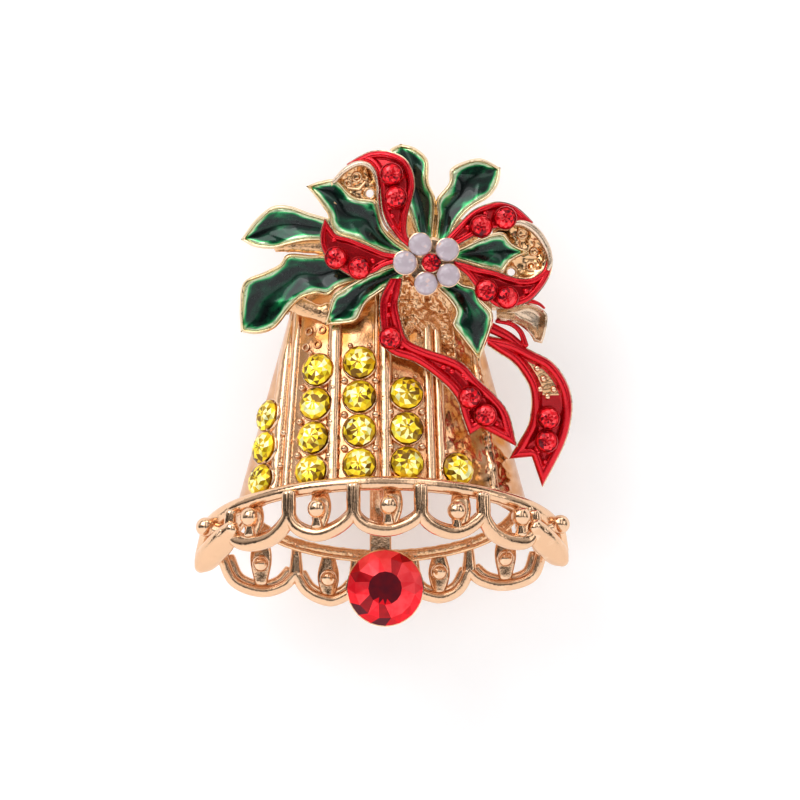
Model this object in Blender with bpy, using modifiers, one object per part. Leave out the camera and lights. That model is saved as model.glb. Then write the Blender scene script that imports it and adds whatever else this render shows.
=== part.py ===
"""A bell brooch: a half-relief cast bell with crystals, holly leaves and a ribbon bow, on a locking pin.

+Z is up as it is worn, and the front faces -Y. The world's origin is the middle of the pin stem.
The casting is drawn from the bell's shoulder, and an empty lowers it to its place on the pin.
Every size below is in millimetres, and goes into the meshes as metres.
"""

import math

import bmesh
import bpy
import numpy as np
from mathutils import Matrix, Vector

MM = 0.001
MERGE = 1e-6  # metres
GAP = 0.12  # between pieces that touch on the real brooch

BACK_Y = -2.4  # the flat back of the castings
BELL_TOP_Z = 4.6
SHOULDER_Z = 0.8
FRONT_LIP_Z = -15.8
SHOULDER_HALF_WIDTH = 8.8
SHOULDER_DEPTH = 4.35
SIDE_SLOPE = 0.277  # half width gained for each millimetre down
FRONT_SLOPE = 0.28
SHELL_WALL = 0.7
RIB_HEIGHT = 0.35

LIP_HALF_WIDTH = 16.6
LIP_DEPTH = 9.9
LIP_DROP = 5.3  # how far the ends of the front lip hang below its middle
LIP_RADIUS = 0.5

CROWN_X, CROWN_Z = 4.7, 5.7  # middle of the berry cluster
LEAF_THICKNESS = 0.85
LAYER_STEP = LEAF_THICKNESS + GAP
BACK_LAYER_Y = -8.7  # front of the back layer of leaves, at the cluster
LAYER_FALL = 0.10  # how fast the layers fall back, away from the cluster
TAIL_FALL = 0.05

YELLOW_RADIUS = 1.55
STONE_RADIUS = 0.98
CLAPPER_RADIUS = 3.65

PIN_RISE = 2.2  # how far the pin stands above the level that the casting is drawn from
PIN_HALF_LENGTH = 9.6
BAR_FACE_Y = -1.65  # the side of the bar that faces the cloth
PIN_RADIUS = 0.4


# ---------------------------------------------------------------- scene and materials


def clear_scene():
    for obj in list(bpy.data.objects):
        bpy.data.objects.remove(obj, do_unlink=True)
    for name in ("brooch", "cutters"):
        collection = bpy.data.collections.new(name)
        bpy.context.scene.collection.children.link(collection)
    bpy.data.collections["cutters"].hide_render = True
    for name, height in (("casting_frame", -PIN_RISE), ("pin_frame", 0)):
        frame = bpy.data.objects.new(name, None)
        frame.location.z = height * MM
        bpy.data.collections["brooch"].objects.link(frame)


def material(name, color, metallic, roughness):
    made = bpy.data.materials.new(name)
    made.use_nodes = True
    shader = made.node_tree.nodes["Principled BSDF"]
    shader.inputs["Base Color"].default_value = (*color, 1)
    shader.inputs["Metallic"].default_value = metallic
    shader.inputs["Roughness"].default_value = roughness
    return made


def piece(name, mesh, finish, frame="casting_frame"):
    """A visible sub-part made from a mesh."""
    obj = bpy.data.objects.new(name, mesh)
    obj.parent = bpy.data.objects[frame]
    obj.data.materials.clear()
    obj.data.materials.append(finish)
    bpy.data.collections["brooch"].objects.link(obj)
    return obj


def helper(name, mesh, frame="casting_frame"):
    """A piece that is only joined to, or cut from, another."""
    obj = bpy.data.objects.new(name, mesh)
    obj.parent = bpy.data.objects[frame]
    obj.hide_render = True
    obj.display_type = "WIRE"
    bpy.data.collections["cutters"].objects.link(obj)
    return obj


def boolean(target, other, operation):
    modifier = target.modifiers.new(f"{operation} {other.name}", "BOOLEAN")
    modifier.operation = operation
    modifier.object = other


def smooth(mesh):
    mesh.shade_smooth()
    mesh.set_sharp_from_angle(angle=math.radians(35))


# ---------------------------------------------------------------- shapes


def curve_through(points, count):
    """Catmull-Rom curve through the points, sampled evenly along their chords."""
    points = np.array(points, float)
    steps = np.linalg.norm(np.diff(points, axis=0), axis=1)
    knots = np.concatenate([[0], np.cumsum(steps)])
    ends = np.vstack([2 * points[0] - points[1], points, 2 * points[-1] - points[-2]])
    at = np.linspace(0, knots[-1], count)
    spans = np.clip(np.searchsorted(knots, at, side="right") - 1, 0, len(points) - 2)
    t = ((at - knots[spans]) / steps[spans])[:, None]
    a, b, c, d = (ends[spans + k] for k in range(4))
    return 0.5 * (
        2 * b + (c - a) * t + (2 * a - 5 * b + 4 * c - d) * t**2 + (3 * b - a - 3 * c + d) * t**3
    )


def sheet_mesh(name, grid, outward):
    """A grid of points as one open surface, its faces turned towards the direction given."""
    rows, columns = grid.shape[:2]
    corner = np.arange(rows * columns).reshape(rows, columns)
    faces = np.stack(
        [corner[:-1, :-1], corner[:-1, 1:], corner[1:, 1:], corner[1:, :-1]], axis=-1
    )
    mesh = bpy.data.meshes.new(name)
    mesh.from_pydata((grid.reshape(-1, 3) * MM).tolist(), [], faces.reshape(-1, 4).tolist())
    work = bmesh.new()
    work.from_mesh(mesh)
    bmesh.ops.remove_doubles(work, verts=work.verts, dist=MERGE)
    facing = sum((f.normal * f.calc_area() for f in work.faces), Vector())
    if facing.dot(Vector(outward)) < 0:
        bmesh.ops.reverse_faces(work, faces=work.faces)
    work.to_mesh(mesh)
    work.free()
    return mesh


def solidify(obj, thickness):
    """Gives a surface its wall, behind the faces."""
    modifier = obj.modifiers.new("wall", "SOLIDIFY")
    modifier.thickness = thickness * MM
    modifier.offset = -1
    return obj


def layer_y(x, z, layer, fall=LAYER_FALL):
    """Depth of the front of a leaf layer, which falls back with distance from the cluster."""
    away = np.hypot(x - CROWN_X, z - CROWN_Z)
    return BACK_LAYER_Y - layer * LAYER_STEP + fall * away


def plate_grid(left, right, layer, count, fall=LAYER_FALL, notch=None):
    """A strip between two edges, given as (x, z) points from its root to its end."""
    left = curve_through(left, count)
    right = curve_through(right, count)
    middle = (left + right) / 2
    if notch:
        middle[-1] = notch
    flat = np.stack([left, middle, right], axis=1)
    depth = layer_y(flat[..., 0], flat[..., 1], layer, fall)
    return np.stack([flat[..., 0], depth, flat[..., 1]], axis=-1)


def plate(name, left, right, layer, finish, count=14, fall=LAYER_FALL, notch=None):
    grid = plate_grid(left, right, layer, count, fall, notch)
    obj = piece(name, sheet_mesh(name, grid, (0, -1, 0)), finish)
    return solidify(obj, LEAF_THICKNESS)


def swept_mesh(name, path, half_height, half_depth):
    """A closed bar of four sides along a path in space, standing on world Z and capped."""
    path = np.array(path, float)
    half_height = np.broadcast_to(half_height, len(path))
    along = np.gradient(path, axis=0)
    along /= np.linalg.norm(along, axis=1, keepdims=True)
    out = np.cross(along, (0, 0, 1.0))
    steep = np.linalg.norm(out, axis=1) < 0.2
    out[steep] = (0, -1, 0)
    out /= np.linalg.norm(out, axis=1, keepdims=True)
    across = np.cross(out, along)
    across /= np.linalg.norm(across, axis=1, keepdims=True)
    up = across * half_height[:, None]
    out = out * half_depth
    ring = np.stack([path + up + out, path + up - out, path - up - out, path - up + out], axis=1)
    work = bmesh.new()
    corners = [[work.verts.new(Vector(p) * MM) for p in row] for row in ring]
    for here, there in zip(corners, corners[1:]):
        for k in range(4):
            work.faces.new((here[k], here[(k + 1) % 4], there[(k + 1) % 4], there[k]))
    work.faces.new(corners[0][::-1])
    work.faces.new(corners[-1])
    bmesh.ops.recalc_face_normals(work, faces=work.faces)
    mesh = bpy.data.meshes.new(name)
    work.to_mesh(mesh)
    work.free()
    return mesh


def round_wire(name, path, radius, resolution=1):
    """A round wire along a path, as a closed mesh."""
    path = np.array(path, float)
    curve = bpy.data.curves.new(name, "CURVE")
    curve.dimensions = "3D"
    curve.bevel_depth = radius * MM
    curve.bevel_resolution = resolution
    curve.use_fill_caps = True
    spline = curve.splines.new("POLY")
    spline.points.add(len(path) - 1)
    spline.points.foreach_set("co", np.c_[path * MM, np.ones(len(path))].ravel())
    obj = bpy.data.objects.new(name, curve)
    bpy.context.scene.collection.objects.link(obj)
    graph = bpy.context.evaluated_depsgraph_get()
    mesh = bpy.data.meshes.new_from_object(obj.evaluated_get(graph))
    bpy.data.objects.remove(obj)
    work = bmesh.new()
    work.from_mesh(mesh)
    bmesh.ops.remove_doubles(work, verts=work.verts, dist=MERGE)
    bmesh.ops.recalc_face_normals(work, faces=work.faces)
    work.to_mesh(mesh)
    work.free()
    return mesh


def ball_mesh(name, centre, radius):
    work = bmesh.new()
    bmesh.ops.create_uvsphere(
        work,
        u_segments=8,
        v_segments=6,
        radius=radius * MM,
        matrix=Matrix.Translation(Vector(centre) * MM),
    )
    mesh = bpy.data.meshes.new(name)
    work.to_mesh(mesh)
    work.free()
    return mesh


def cylinder_mesh(name, start, end, radius, sides=16):
    start = Vector(start) * MM
    end = Vector(end) * MM
    turn = (end - start).to_track_quat("Z", "Y").to_matrix().to_4x4()
    work = bmesh.new()
    bmesh.ops.create_cone(
        work,
        cap_ends=True,
        segments=sides,
        radius1=radius * MM,
        radius2=radius * MM,
        depth=(end - start).length,
        matrix=Matrix.Translation((start + end) / 2) @ turn,
    )
    mesh = bpy.data.meshes.new(name)
    work.to_mesh(mesh)
    work.free()
    return mesh


def block_mesh(name, low, high):
    low = Vector(low) * MM
    high = Vector(high) * MM
    work = bmesh.new()
    bmesh.ops.create_cube(work, size=1)
    for vertex in work.verts:
        for axis in range(3):
            vertex.co[axis] = low[axis] if vertex.co[axis] < 0 else high[axis]
    mesh = bpy.data.meshes.new(name)
    work.to_mesh(mesh)
    work.free()
    return mesh


# ---------------------------------------------------------------- the bell


def half_width(z):
    return SHOULDER_HALF_WIDTH + SIDE_SLOPE * (SHOULDER_Z - z)


def half_depth(z):
    return SHOULDER_DEPTH + FRONT_SLOPE * (SHOULDER_Z - z)


def bell_point(x, z, raised=0.0):
    """Point on the front of the bell, below its shoulder, raised outwards by some height."""
    sine = x / half_width(z)
    cosine = math.sqrt(1 - sine * sine)
    point = np.array([x, BACK_Y - half_depth(z) * cosine, z])
    return point + raised * bell_normal(x, z)


def bell_normal(x, z):
    """Outward normal of the bell's front at (x, z)."""
    a = half_width(z)
    b = half_depth(z)
    sine = x / a
    cosine = math.sqrt(1 - sine * sine)
    rise = SIDE_SLOPE * sine * sine * b + FRONT_SLOPE * cosine * cosine * a
    normal = np.array([sine * b, -cosine * a, rise])
    return normal / np.linalg.norm(normal)


def column_x(top, bottom, z):
    """Where a column or rib stands at a height, from its place near the top and at the lip."""
    return top + (bottom - top) * (-4.5 - z) / 11.5


RIBS = (
    (-9.4, -10.3), (-8.5, -9.3), (-4.75, -5.0), (0.3, 0.4),
    (4.4, 4.75), (5.3, 5.7), (9.2, 10.8),
)  # x near the top and at the lip
RIB_LIMIT = 0.82  # ribs further round than this share of the half width crowd together
SIDE_ANGLES = (90, 83, 76, 69)  # degrees round the bell, past the last rib


def build_shell(gold):
    """Half a bell: an elliptical section that widens downwards, ribbed, closed by a shoulder."""
    lines = []
    for top, bottom in RIBS:
        lines += [(top - 0.35, bottom - 0.35, 0), (top - 0.15, bottom - 0.15, 1)]
        lines += [(top + 0.15, bottom + 0.15, 1), (top + 0.35, bottom + 0.35, 0)]
    rows = [shell_row(lines, share) for share in np.linspace(1, 0, 7)]
    rows += [shoulder_row(rows[-1], math.radians(angle)) for angle in (25, 50, 68, 80)]
    mesh = sheet_mesh("bell_shell", np.array(rows), (0, -1, 0))
    return solidify(piece("bell_shell", mesh, gold), SHELL_WALL)


def shell_row(lines, share):
    """One level of the bell: share 1 is the lip's curve, share 0 the shoulder."""
    left = [side_point(math.radians(-angle), share) for angle in SIDE_ANGLES]
    ribs = [rib_point(top, bottom, on, share) for top, bottom, on in lines]
    right = [side_point(math.radians(angle), share) for angle in reversed(SIDE_ANGLES)]
    return left + ribs + right


def level_z(x, share):
    """Height of a level at x: straight across at the shoulder, arched like the lip at the bottom."""
    arch = LIP_DROP * (1 - math.sqrt(1 - (x / LIP_HALF_WIDTH) ** 2))
    return SHOULDER_Z + (FRONT_LIP_Z - arch - SHOULDER_Z) * share


def rib_point(top, bottom, on, share):
    z = SHOULDER_Z + (FRONT_LIP_Z - SHOULDER_Z) * share
    across = column_x(top, bottom, z) / half_width(z)
    past = abs(across) - RIB_LIMIT
    if past > 0:
        across = math.copysign(RIB_LIMIT + 0.35 * past, across)
    x = across * half_width(z)
    return bell_point(x, level_z(x, share), RIB_HEIGHT * on)


def side_point(angle, share):
    x = half_width(FRONT_LIP_Z * share) * math.sin(angle)
    z = level_z(x, share)
    x = half_width(z) * math.sin(angle)
    return np.array([x, BACK_Y - half_depth(z) * math.cos(angle), z])


def shoulder_row(base, angle):
    """The shoulder rounds inwards as a quarter ellipse above the top level."""
    shrink = math.cos(angle)
    row = np.array(base, float)
    row[:, 0] *= shrink
    row[:, 1] = BACK_Y + (row[:, 1] - BACK_Y) * shrink
    row[:, 2] = SHOULDER_Z + (BELL_TOP_Z - SHOULDER_Z) * math.sin(angle)
    return row


# ---------------------------------------------------------------- the front gallery

JUNCTIONS = (-88, -56, -33, -9.5, 12.7, 35.5, 59, 88)  # degrees round the lip


def lip_point(degrees, outward=0.0, drop=0.0):
    """Point on the lip, moved away from the bell's axis and down."""
    angle = np.radians(degrees)
    x = (LIP_HALF_WIDTH + outward) * np.sin(angle)
    y = BACK_Y - (LIP_DEPTH + outward) * np.cos(angle)
    z = FRONT_LIP_Z - LIP_DROP * (1 - np.cos(angle)) - drop
    return np.stack([x, y, z], axis=-1)


def scallop_path(start, end, count=9):
    """A hanging loop of the lip's edging between two junctions."""
    t = np.linspace(0, 1, count)
    hang = np.sin(np.pi * t) ** 0.7
    return lip_point(start + (end - start) * t, 0.5 + 1.3 * hang, 2.2 + 2.1 * hang)


def build_front_gallery(gold):
    """The lip, seven hanging scallops, the posts that carry them and a bead in each."""
    lip = round_wire("front_gallery", lip_point(np.linspace(-90, 90, 27)), LIP_RADIUS)
    obj = piece("front_gallery", lip, gold)
    for k, (start, end) in enumerate(zip(JUNCTIONS, JUNCTIONS[1:])):
        path = scallop_path(start, end)
        along = np.linspace(-1, 1, len(path))
        height = 0.68 - 0.2 * along**2
        loop = helper(f"scallop_{k}", swept_mesh("scallop", path, height, 0.5))
        boolean(obj, loop, "UNION")
        middle = (start + end) / 2
        bead = lip_point(middle, 1.35, 2.15)
        foot = lip_point(middle, 1.4, 4.2)
        boolean(obj, helper(f"bead_{k}", ball_mesh("bead", bead, 0.9)), "UNION")
        stem = cylinder_mesh("stem", bead, foot, 0.33, 6)
        boolean(obj, helper(f"bead_stem_{k}", stem), "UNION")
    for k, junction in enumerate(JUNCTIONS):
        top = lip_point(junction, 0.0, 0.2)
        post = cylinder_mesh("post", top, lip_point(junction, 0.5, 2.5), 0.42, 4)
        boolean(obj, helper(f"post_{k}", post), "UNION")
    return obj


# ---------------------------------------------------------------- the back gallery


BACK_ARC_HALF_WIDTH = 13.0
BACK_ARC_Z = -18.1
BACK_ARC_SAG = 4.9
BACK_DEPTH = 1.3
BACK_SCALLOPS = (
    ((-15.5, -22.9), (-14.3, -25.4), (-11.8, -26.4), (-9.6, -25.9), (-8.2, -24.5)),
    ((-8.4, -24.6), (-7.2, -26.4), (-5.1, -27.3), (-3.4, -26.7), (-2.5, -25.8)),
    ((-2.7, -25.9), (-1.6, -27.4), (0.3, -28.1), (2.1, -27.3), (3.2, -25.8)),
    ((3.0, -25.9), (3.9, -26.6), (5.7, -27.0), (7.4, -26.2), (8.5, -24.2)),
    ((8.3, -24.3), (9.7, -25.4), (12.0, -25.8), (14.5, -24.9), (15.4, -22.6)),
)
BACK_BEADS = ((-11.7, -23.7), (-5.2, -25.1), (0.3, -25.7), (5.5, -24.5), (11.9, -23.2))


def back_arc_point(degrees):
    angle = np.radians(degrees)
    x = BACK_ARC_HALF_WIDTH * np.sin(angle)
    z = BACK_ARC_Z - BACK_ARC_SAG * np.cos(angle)
    return np.stack([x, z], axis=-1)


def back_bar(name, points, width, depth):
    """A flat bar lying on the back plane, along (x, z) points."""
    points = np.array(points, float)
    y = np.full(len(points), BACK_Y - depth / 2)
    path = np.stack([points[:, 0], y, points[:, 1]], axis=1)
    along = np.gradient(path, axis=0)
    along /= np.linalg.norm(along, axis=1, keepdims=True)
    side = np.cross(along, (0, 1.0, 0)) * width / 2
    front = np.array([0, -depth / 2, 0])
    ring = np.stack(
        [path + side + front, path + side - front, path - side - front, path - side + front],
        axis=1,
    )
    work = bmesh.new()
    corners = [[work.verts.new(Vector(p) * MM) for p in row] for row in ring]
    for here, there in zip(corners, corners[1:]):
        for k in range(4):
            work.faces.new((here[k], here[(k + 1) % 4], there[(k + 1) % 4], there[k]))
    work.faces.new(corners[0][::-1])
    work.faces.new(corners[-1])
    bmesh.ops.recalc_face_normals(work, faces=work.faces)
    mesh = bpy.data.meshes.new(name)
    work.to_mesh(mesh)
    work.free()
    return mesh


def build_back_gallery(gold):
    """The back half of the mouth: a flat arc with five scallops and their beads."""
    arc = back_bar("back_gallery", back_arc_point(np.linspace(-88, 88, 17)), 0.95, BACK_DEPTH)
    obj = piece("back_gallery", arc, gold)
    for k, points in enumerate(BACK_SCALLOPS):
        loop = back_bar("back_loop", curve_through(points, 9), 0.95, BACK_DEPTH - 0.1 * (k % 2))
        boolean(obj, helper(f"back_loop_{k}", loop), "UNION")
    for k, (x, z) in enumerate(BACK_BEADS):
        top = arc_height(x) + 0.2
        bottom = z - 1.9
        stem = back_bar("back_stem", [(x, top), (x, bottom)], 0.6, BACK_DEPTH - 0.3)
        boolean(obj, helper(f"back_stem_{k}", stem), "UNION")
        bead = ball_mesh("back_bead", (x, BACK_Y - 1.45, z), 0.8)
        boolean(obj, helper(f"back_bead_{k}", bead), "UNION")
    for k, (loop, other) in enumerate(zip(BACK_SCALLOPS, BACK_SCALLOPS[1:])):
        x = (loop[-1][0] + other[0][0]) / 2
        low = loop[-1][1] - 0.35
        post = back_bar("back_post", [(x, arc_height(x) + 0.1), (x, low)], 0.9, BACK_DEPTH - 0.2)
        boolean(obj, helper(f"back_post_{k}", post), "UNION")
    for k, side in enumerate((-1, 1)):
        end = BACK_SCALLOPS[0][0] if side < 0 else BACK_SCALLOPS[-1][-1]
        tie = [(end[0] - 0.15 * side, end[1] - 0.3), (side * 12.9, -18.9)]
        bar = back_bar("back_tie", tie, 0.8, BACK_DEPTH - 0.25)
        boolean(obj, helper(f"back_tie_{k}", bar), "UNION")
    return obj


def arc_height(x):
    return BACK_ARC_Z - BACK_ARC_SAG * math.sqrt(1 - (x / BACK_ARC_HALF_WIDTH) ** 2)


# ---------------------------------------------------------------- clapper

CLAPPER_X, CLAPPER_Z = 0.3, -25.45
CLAPPER_BACK_Y = -6.6


def build_clapper(gold):
    """A cup for the big stone on a flat arm, which is soldered inside the front of the bell."""
    cup = cylinder_mesh(
        "clapper",
        (CLAPPER_X, CLAPPER_BACK_Y, CLAPPER_Z),
        (CLAPPER_X, CLAPPER_BACK_Y - 1.0, CLAPPER_Z),
        CLAPPER_RADIUS - 0.15,
        20,
    )
    obj = piece("clapper", cup, gold)
    x = CLAPPER_X - 0.45
    foot_y = bell_point(x, -12.0)[1] + SHELL_WALL + 0.55
    top_y = bell_point(x, -7.5)[1] + SHELL_WALL + 0.55
    path = [
        (x, CLAPPER_BACK_Y - 0.45, CLAPPER_Z),
        (x, CLAPPER_BACK_Y - 0.45, -20.0),
        (x, CLAPPER_BACK_Y - 0.75, -16.5),
        (x, foot_y, -12.0),
        (x, top_y, -7.5),
    ]
    work = bmesh.new()
    rows = []
    for px, py, pz in path:
        corners = ((-1.1, -0.4), (1.1, -0.4), (1.1, 0.4), (-1.1, 0.4))
        rows.append([work.verts.new(Vector((px + u, py + v, pz)) * MM) for u, v in corners])
    for here, there in zip(rows, rows[1:]):
        for k in range(4):
            work.faces.new((here[k], here[(k + 1) % 4], there[(k + 1) % 4], there[k]))
    work.faces.new(rows[0][::-1])
    work.faces.new(rows[-1])
    bmesh.ops.recalc_face_normals(work, faces=work.faces)
    mesh = bpy.data.meshes.new("clapper_arm")
    work.to_mesh(mesh)
    work.free()
    boolean(obj, helper("clapper_arm", mesh), "UNION")
    return obj


# ---------------------------------------------------------------- leaves

LEAVES = {
    "leaf_left": (0, (
        (-4.6, 9.4), (-7.1, 10.1), (-8.8, 10.7), (-10.5, 10.7), (-12.2, 9.4), (-13.6, 7.5),
    ), (
        (-4.6, 7.3), (-7.1, 7.3), (-8.8, 7.0), (-10.5, 6.6), (-12.3, 6.8), (-13.6, 7.5),
    )),
    "leaf_lower_left": (0, (
        (-3.8, 5.8), (-6.6, 6.0), (-9.0, 6.1), (-9.9, 5.1), (-11.3, 4.4), (-13.3, 3.4),
        (-13.7, 1.0), (-13.6, -1.4),
    ), (
        (-3.8, 2.9), (-5.1, 2.1), (-6.3, 2.2), (-7.7, 1.8), (-8.8, 0.8), (-10.3, -1.0),
        (-12.0, -1.6), (-13.6, -1.4),
    )),
    "leaf_upper_left": (1, (
        (1.7, 6.7), (0.8, 7.9), (0.1, 8.9), (-0.3, 10.4), (-0.7, 11.3), (-2.7, 11.7),
        (-4.3, 13.2), (-5.9, 13.1), (-7.3, 12.6),
    ), (
        (1.1, 6.1), (-0.9, 6.6), (-2.4, 7.3), (-4.3, 7.9), (-5.0, 8.8), (-5.2, 9.8),
        (-5.7, 10.6), (-6.6, 11.8), (-7.3, 12.6),
    )),
    "leaf_top": (0, (
        (3.4, 7.9), (2.6, 9.8), (2.0, 11.7), (1.4, 13.6), (0.7, 15.3), (0.8, 16.2), (1.8, 16.7),
    ), (
        (4.7, 8.1), (4.7, 10.1), (4.9, 11.5), (4.5, 12.6), (4.6, 14.9), (3.4, 16.1), (1.8, 16.7),
    )),
    "leaf_top_right": (0, (
        (5.3, 7.9), (5.2, 9.6), (5.3, 11.4), (6.6, 13.3), (8.3, 15.0), (10.0, 15.2), (11.4, 14.4),
    ), (
        (6.3, 8.1), (7.5, 9.4), (8.3, 10.1), (8.6, 11.3), (9.8, 12.6), (10.9, 13.0), (11.4, 14.4),
    )),
    "leaf_right": (1, (
        (7.5, 6.0), (7.9, 6.7), (8.9, 7.4), (10.4, 8.0), (11.7, 8.1), (12.6, 7.1), (14.2, 6.3),
    ), (
        (7.5, 5.4), (8.6, 5.0), (9.6, 4.7), (10.8, 4.5), (11.6, 4.3), (12.5, 5.4), (14.2, 6.3),
    )),
    "leaf_lower_right": (1, (
        (5.5, 3.5), (5.3, 2.7), (6.2, 1.8), (7.0, 0.6), (6.7, -0.7), (7.6, -2.0), (9.3, -4.2),
    ), (
        (6.8, 3.9), (7.8, 3.2), (9.0, 2.9), (9.5, 1.7), (10.6, 0.4), (10.4, -1.4), (9.3, -4.2),
    )),
    "leaf_lower": (1, (
        (0.9, 4.8), (-0.8, 4.4), (-2.4, 3.6), (-3.9, 2.7), (-4.9, 1.8), (-5.5, -0.7),
    ), (
        (1.1, 3.0), (-0.2, 2.3), (-1.5, 1.3), (-2.4, -0.3), (-3.8, -0.7), (-5.5, -0.7),
    )),
}  # the layer, then the two edges as (x, z) from root to tip


def build_leaves(enamel):
    for name, (layer, left, right) in LEAVES.items():
        plate(name, left, right, layer, enamel)


# ---------------------------------------------------------------- ribbon


def thick_strip(name, left, right, finish, deep_from, deep_to, count=20):
    """A strip on the front layer, as deep as all three layers where the ribbon turns over."""
    grid = plate_grid(left, right, 2, count)
    share = np.linspace(0, 1, count)[:, None]
    deep = ((share >= deep_from) & (share <= deep_to)) * (2 * LAYER_STEP)
    front = grid[:, [0, 2]]
    back = front + np.stack([0 * deep, LEAF_THICKNESS + deep, 0 * deep], axis=-1)
    work = bmesh.new()
    ring = np.stack([front[:, 0], front[:, 1], back[:, 1], back[:, 0]], axis=1)
    corners = [[work.verts.new(Vector(p) * MM) for p in row] for row in ring]
    for here, there in zip(corners, corners[1:]):
        for k in range(4):
            work.faces.new((here[k], here[(k + 1) % 4], there[(k + 1) % 4], there[k]))
    work.faces.new(corners[0][::-1])
    work.faces.new(corners[-1])
    bmesh.ops.recalc_face_normals(work, faces=work.faces)
    mesh = bpy.data.meshes.new(name)
    work.to_mesh(mesh)
    work.free()
    return piece(name, mesh, finish)


def add_lining(obj, left, right):
    """The inside of a ribbon loop: a plate on the back layer, joined to the loop's turn."""
    grid = plate_grid(left, right, 0, 8)
    lining = solidify(helper(f"{obj.name}_lining", sheet_mesh("lining", grid, (0, -1, 0))), 0.7)
    boolean(obj, lining, "UNION")


def build_ribbon(enamel):
    upper_left = thick_strip("ribbon_upper_left", (
        (1.6, 7.5), (0.6, 8.9), (0.1, 10.1), (-0.1, 11.6), (-0.2, 12.8), (-0.5, 13.9),
        (-1.1, 14.7), (-1.9, 14.9), (-2.9, 14.4), (-4.0, 13.6),
    ), (
        (2.4, 7.9), (2.4, 9.5), (2.7, 10.8), (3.1, 12.6), (2.8, 14.2), (2.0, 15.3),
        (0.5, 15.9), (-1.0, 15.9), (-2.1, 15.4), (-3.8, 14.3),
    ), enamel, 0.66, 1.0)
    add_lining(
        upper_left,
        ((-4.5, 13.4), (-3.6, 14.2), (-2.4, 14.9), (-1.2, 14.9), (-0.5, 14.3)),
        ((-4.5, 11.3), (-3.6, 10.8), (-2.4, 10.5), (-1.2, 10.4), (-0.3, 10.6)),
    )
    plate("ribbon_left", (
        (0.4, 6.0), (-0.7, 6.6), (-1.9, 7.1), (-3.2, 7.6), (-4.3, 7.9), (-4.9, 8.6), (-5.5, 9.5),
    ), (
        (0.4, 5.1), (-0.9, 4.2), (-2.6, 3.9), (-4.3, 4.8), (-5.5, 6.0), (-5.9, 7.7), (-5.5, 9.5),
    ), 2, enamel)
    right = thick_strip("ribbon_right", (
        (6.9, 8.3), (8.6, 10.1), (10.1, 10.8), (11.4, 11.0), (12.9, 10.5), (14.4, 9.1),
        (15.6, 7.7), (16.4, 5.8), (16.1, 4.2), (15.3, 2.8), (14.0, 1.5), (12.3, 1.0),
        (10.8, 1.1), (9.0, 2.9), (8.3, 4.0),
    ), (
        (7.6, 7.0), (9.2, 8.0), (10.4, 8.4), (11.5, 8.6), (12.7, 8.9), (14.2, 8.6),
        (15.2, 7.6), (15.8, 6.2), (15.5, 4.6), (14.4, 3.8), (13.2, 3.7), (12.0, 4.0),
        (10.9, 4.4), (9.3, 4.7), (8.5, 4.9),
    ), enamel, 0.40, 0.62)
    add_lining(
        right,
        ((11.2, 8.4), (12.7, 8.9), (14.1, 8.7), (15.3, 7.8), (16.0, 6.3)),
        ((11.2, 4.1), (12.7, 3.9), (14.1, 3.9), (15.2, 4.6), (15.9, 5.9)),
    )
    plate("ribbon_tail", (
        (0.8, 3.7), (0.1, 2.4), (-0.2, 1.2), (-0.1, -0.8), (0.2, -2.6), (1.1, -3.6),
        (3.1, -4.3), (4.8, -5.4), (6.4, -6.8), (7.3, -8.1), (7.8, -9.7), (8.4, -11.3),
    ), (
        (1.9, 3.7), (1.7, 2.4), (1.5, 1.2), (1.8, -0.4), (2.4, -2.1), (4.1, -3.0),
        (6.4, -3.8), (7.8, -4.5), (9.1, -5.9), (10.9, -7.6), (12.1, -9.3), (12.9, -12.4),
    ), 2, enamel, 20, TAIL_FALL, (9.5, -10.6))
    plate("ribbon_right_tail", (
        (10.1, -2.6), (11.1, -3.3), (12.6, -4.3), (13.7, -5.7), (14.3, -7.0), (14.4, -8.6),
        (14.1, -10.3), (13.3, -11.8), (12.2, -13.6),
    ), (
        (10.1, -1.8), (12.4, -2.3), (14.5, -3.3), (16.3, -4.3), (17.6, -6.0), (18.2, -7.9),
        (18.1, -10.0), (17.4, -12.4), (15.4, -16.3),
    ), 0, enamel, 16, LAYER_FALL, (14.4, -13.4))
    plate("ribbon_fold", (
        (11.0, 1.0), (12.7, 1.3), (14.2, 1.4), (15.3, 0.9), (15.9, 0.1), (15.7, -1.5), (15.4, -2.5),
    ), (
        (11.0, -0.4), (12.3, -0.5), (13.1, -0.7), (13.7, -1.1), (14.1, -1.5), (14.4, -1.9), (14.6, -2.3),
    ), -1, enamel)


# ---------------------------------------------------------------- stones


def gem_mesh(name, radius, height):
    """A round-cut stone turned about Z: flat table up, girdle, and a blunt foiled back at zero."""
    outline = (
        (0, height), (0.55 * radius, height), (radius, 0.62 * height),
        (radius, 0.5 * height), (0.6 * radius, 0), (0, 0),
    )
    profile = bpy.data.meshes.new(name)
    points = [(x * MM, 0, z * MM) for x, z in outline]
    profile.from_pydata(points, [(k, k + 1) for k in range(len(points) - 1)], [])
    turned = bpy.data.objects.new(name, profile)
    bpy.context.scene.collection.objects.link(turned)
    screw = turned.modifiers.new("turn", "SCREW")
    screw.steps = 10
    screw.render_steps = 10
    screw.use_merge_vertices = True
    screw.merge_threshold = MERGE
    graph = bpy.context.evaluated_depsgraph_get()
    mesh = bpy.data.meshes.new_from_object(turned.evaluated_get(graph))
    bpy.data.objects.remove(turned)
    return mesh


def set_stone(name, mesh, centre, normal, finish):
    """Puts a stone with its back at a point, facing along a direction."""
    obj = piece(name, mesh, finish)
    obj.rotation_euler = Vector(normal).to_track_quat("Z", "Y").to_euler()
    obj.location = Vector(centre) * MM
    return obj


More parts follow.
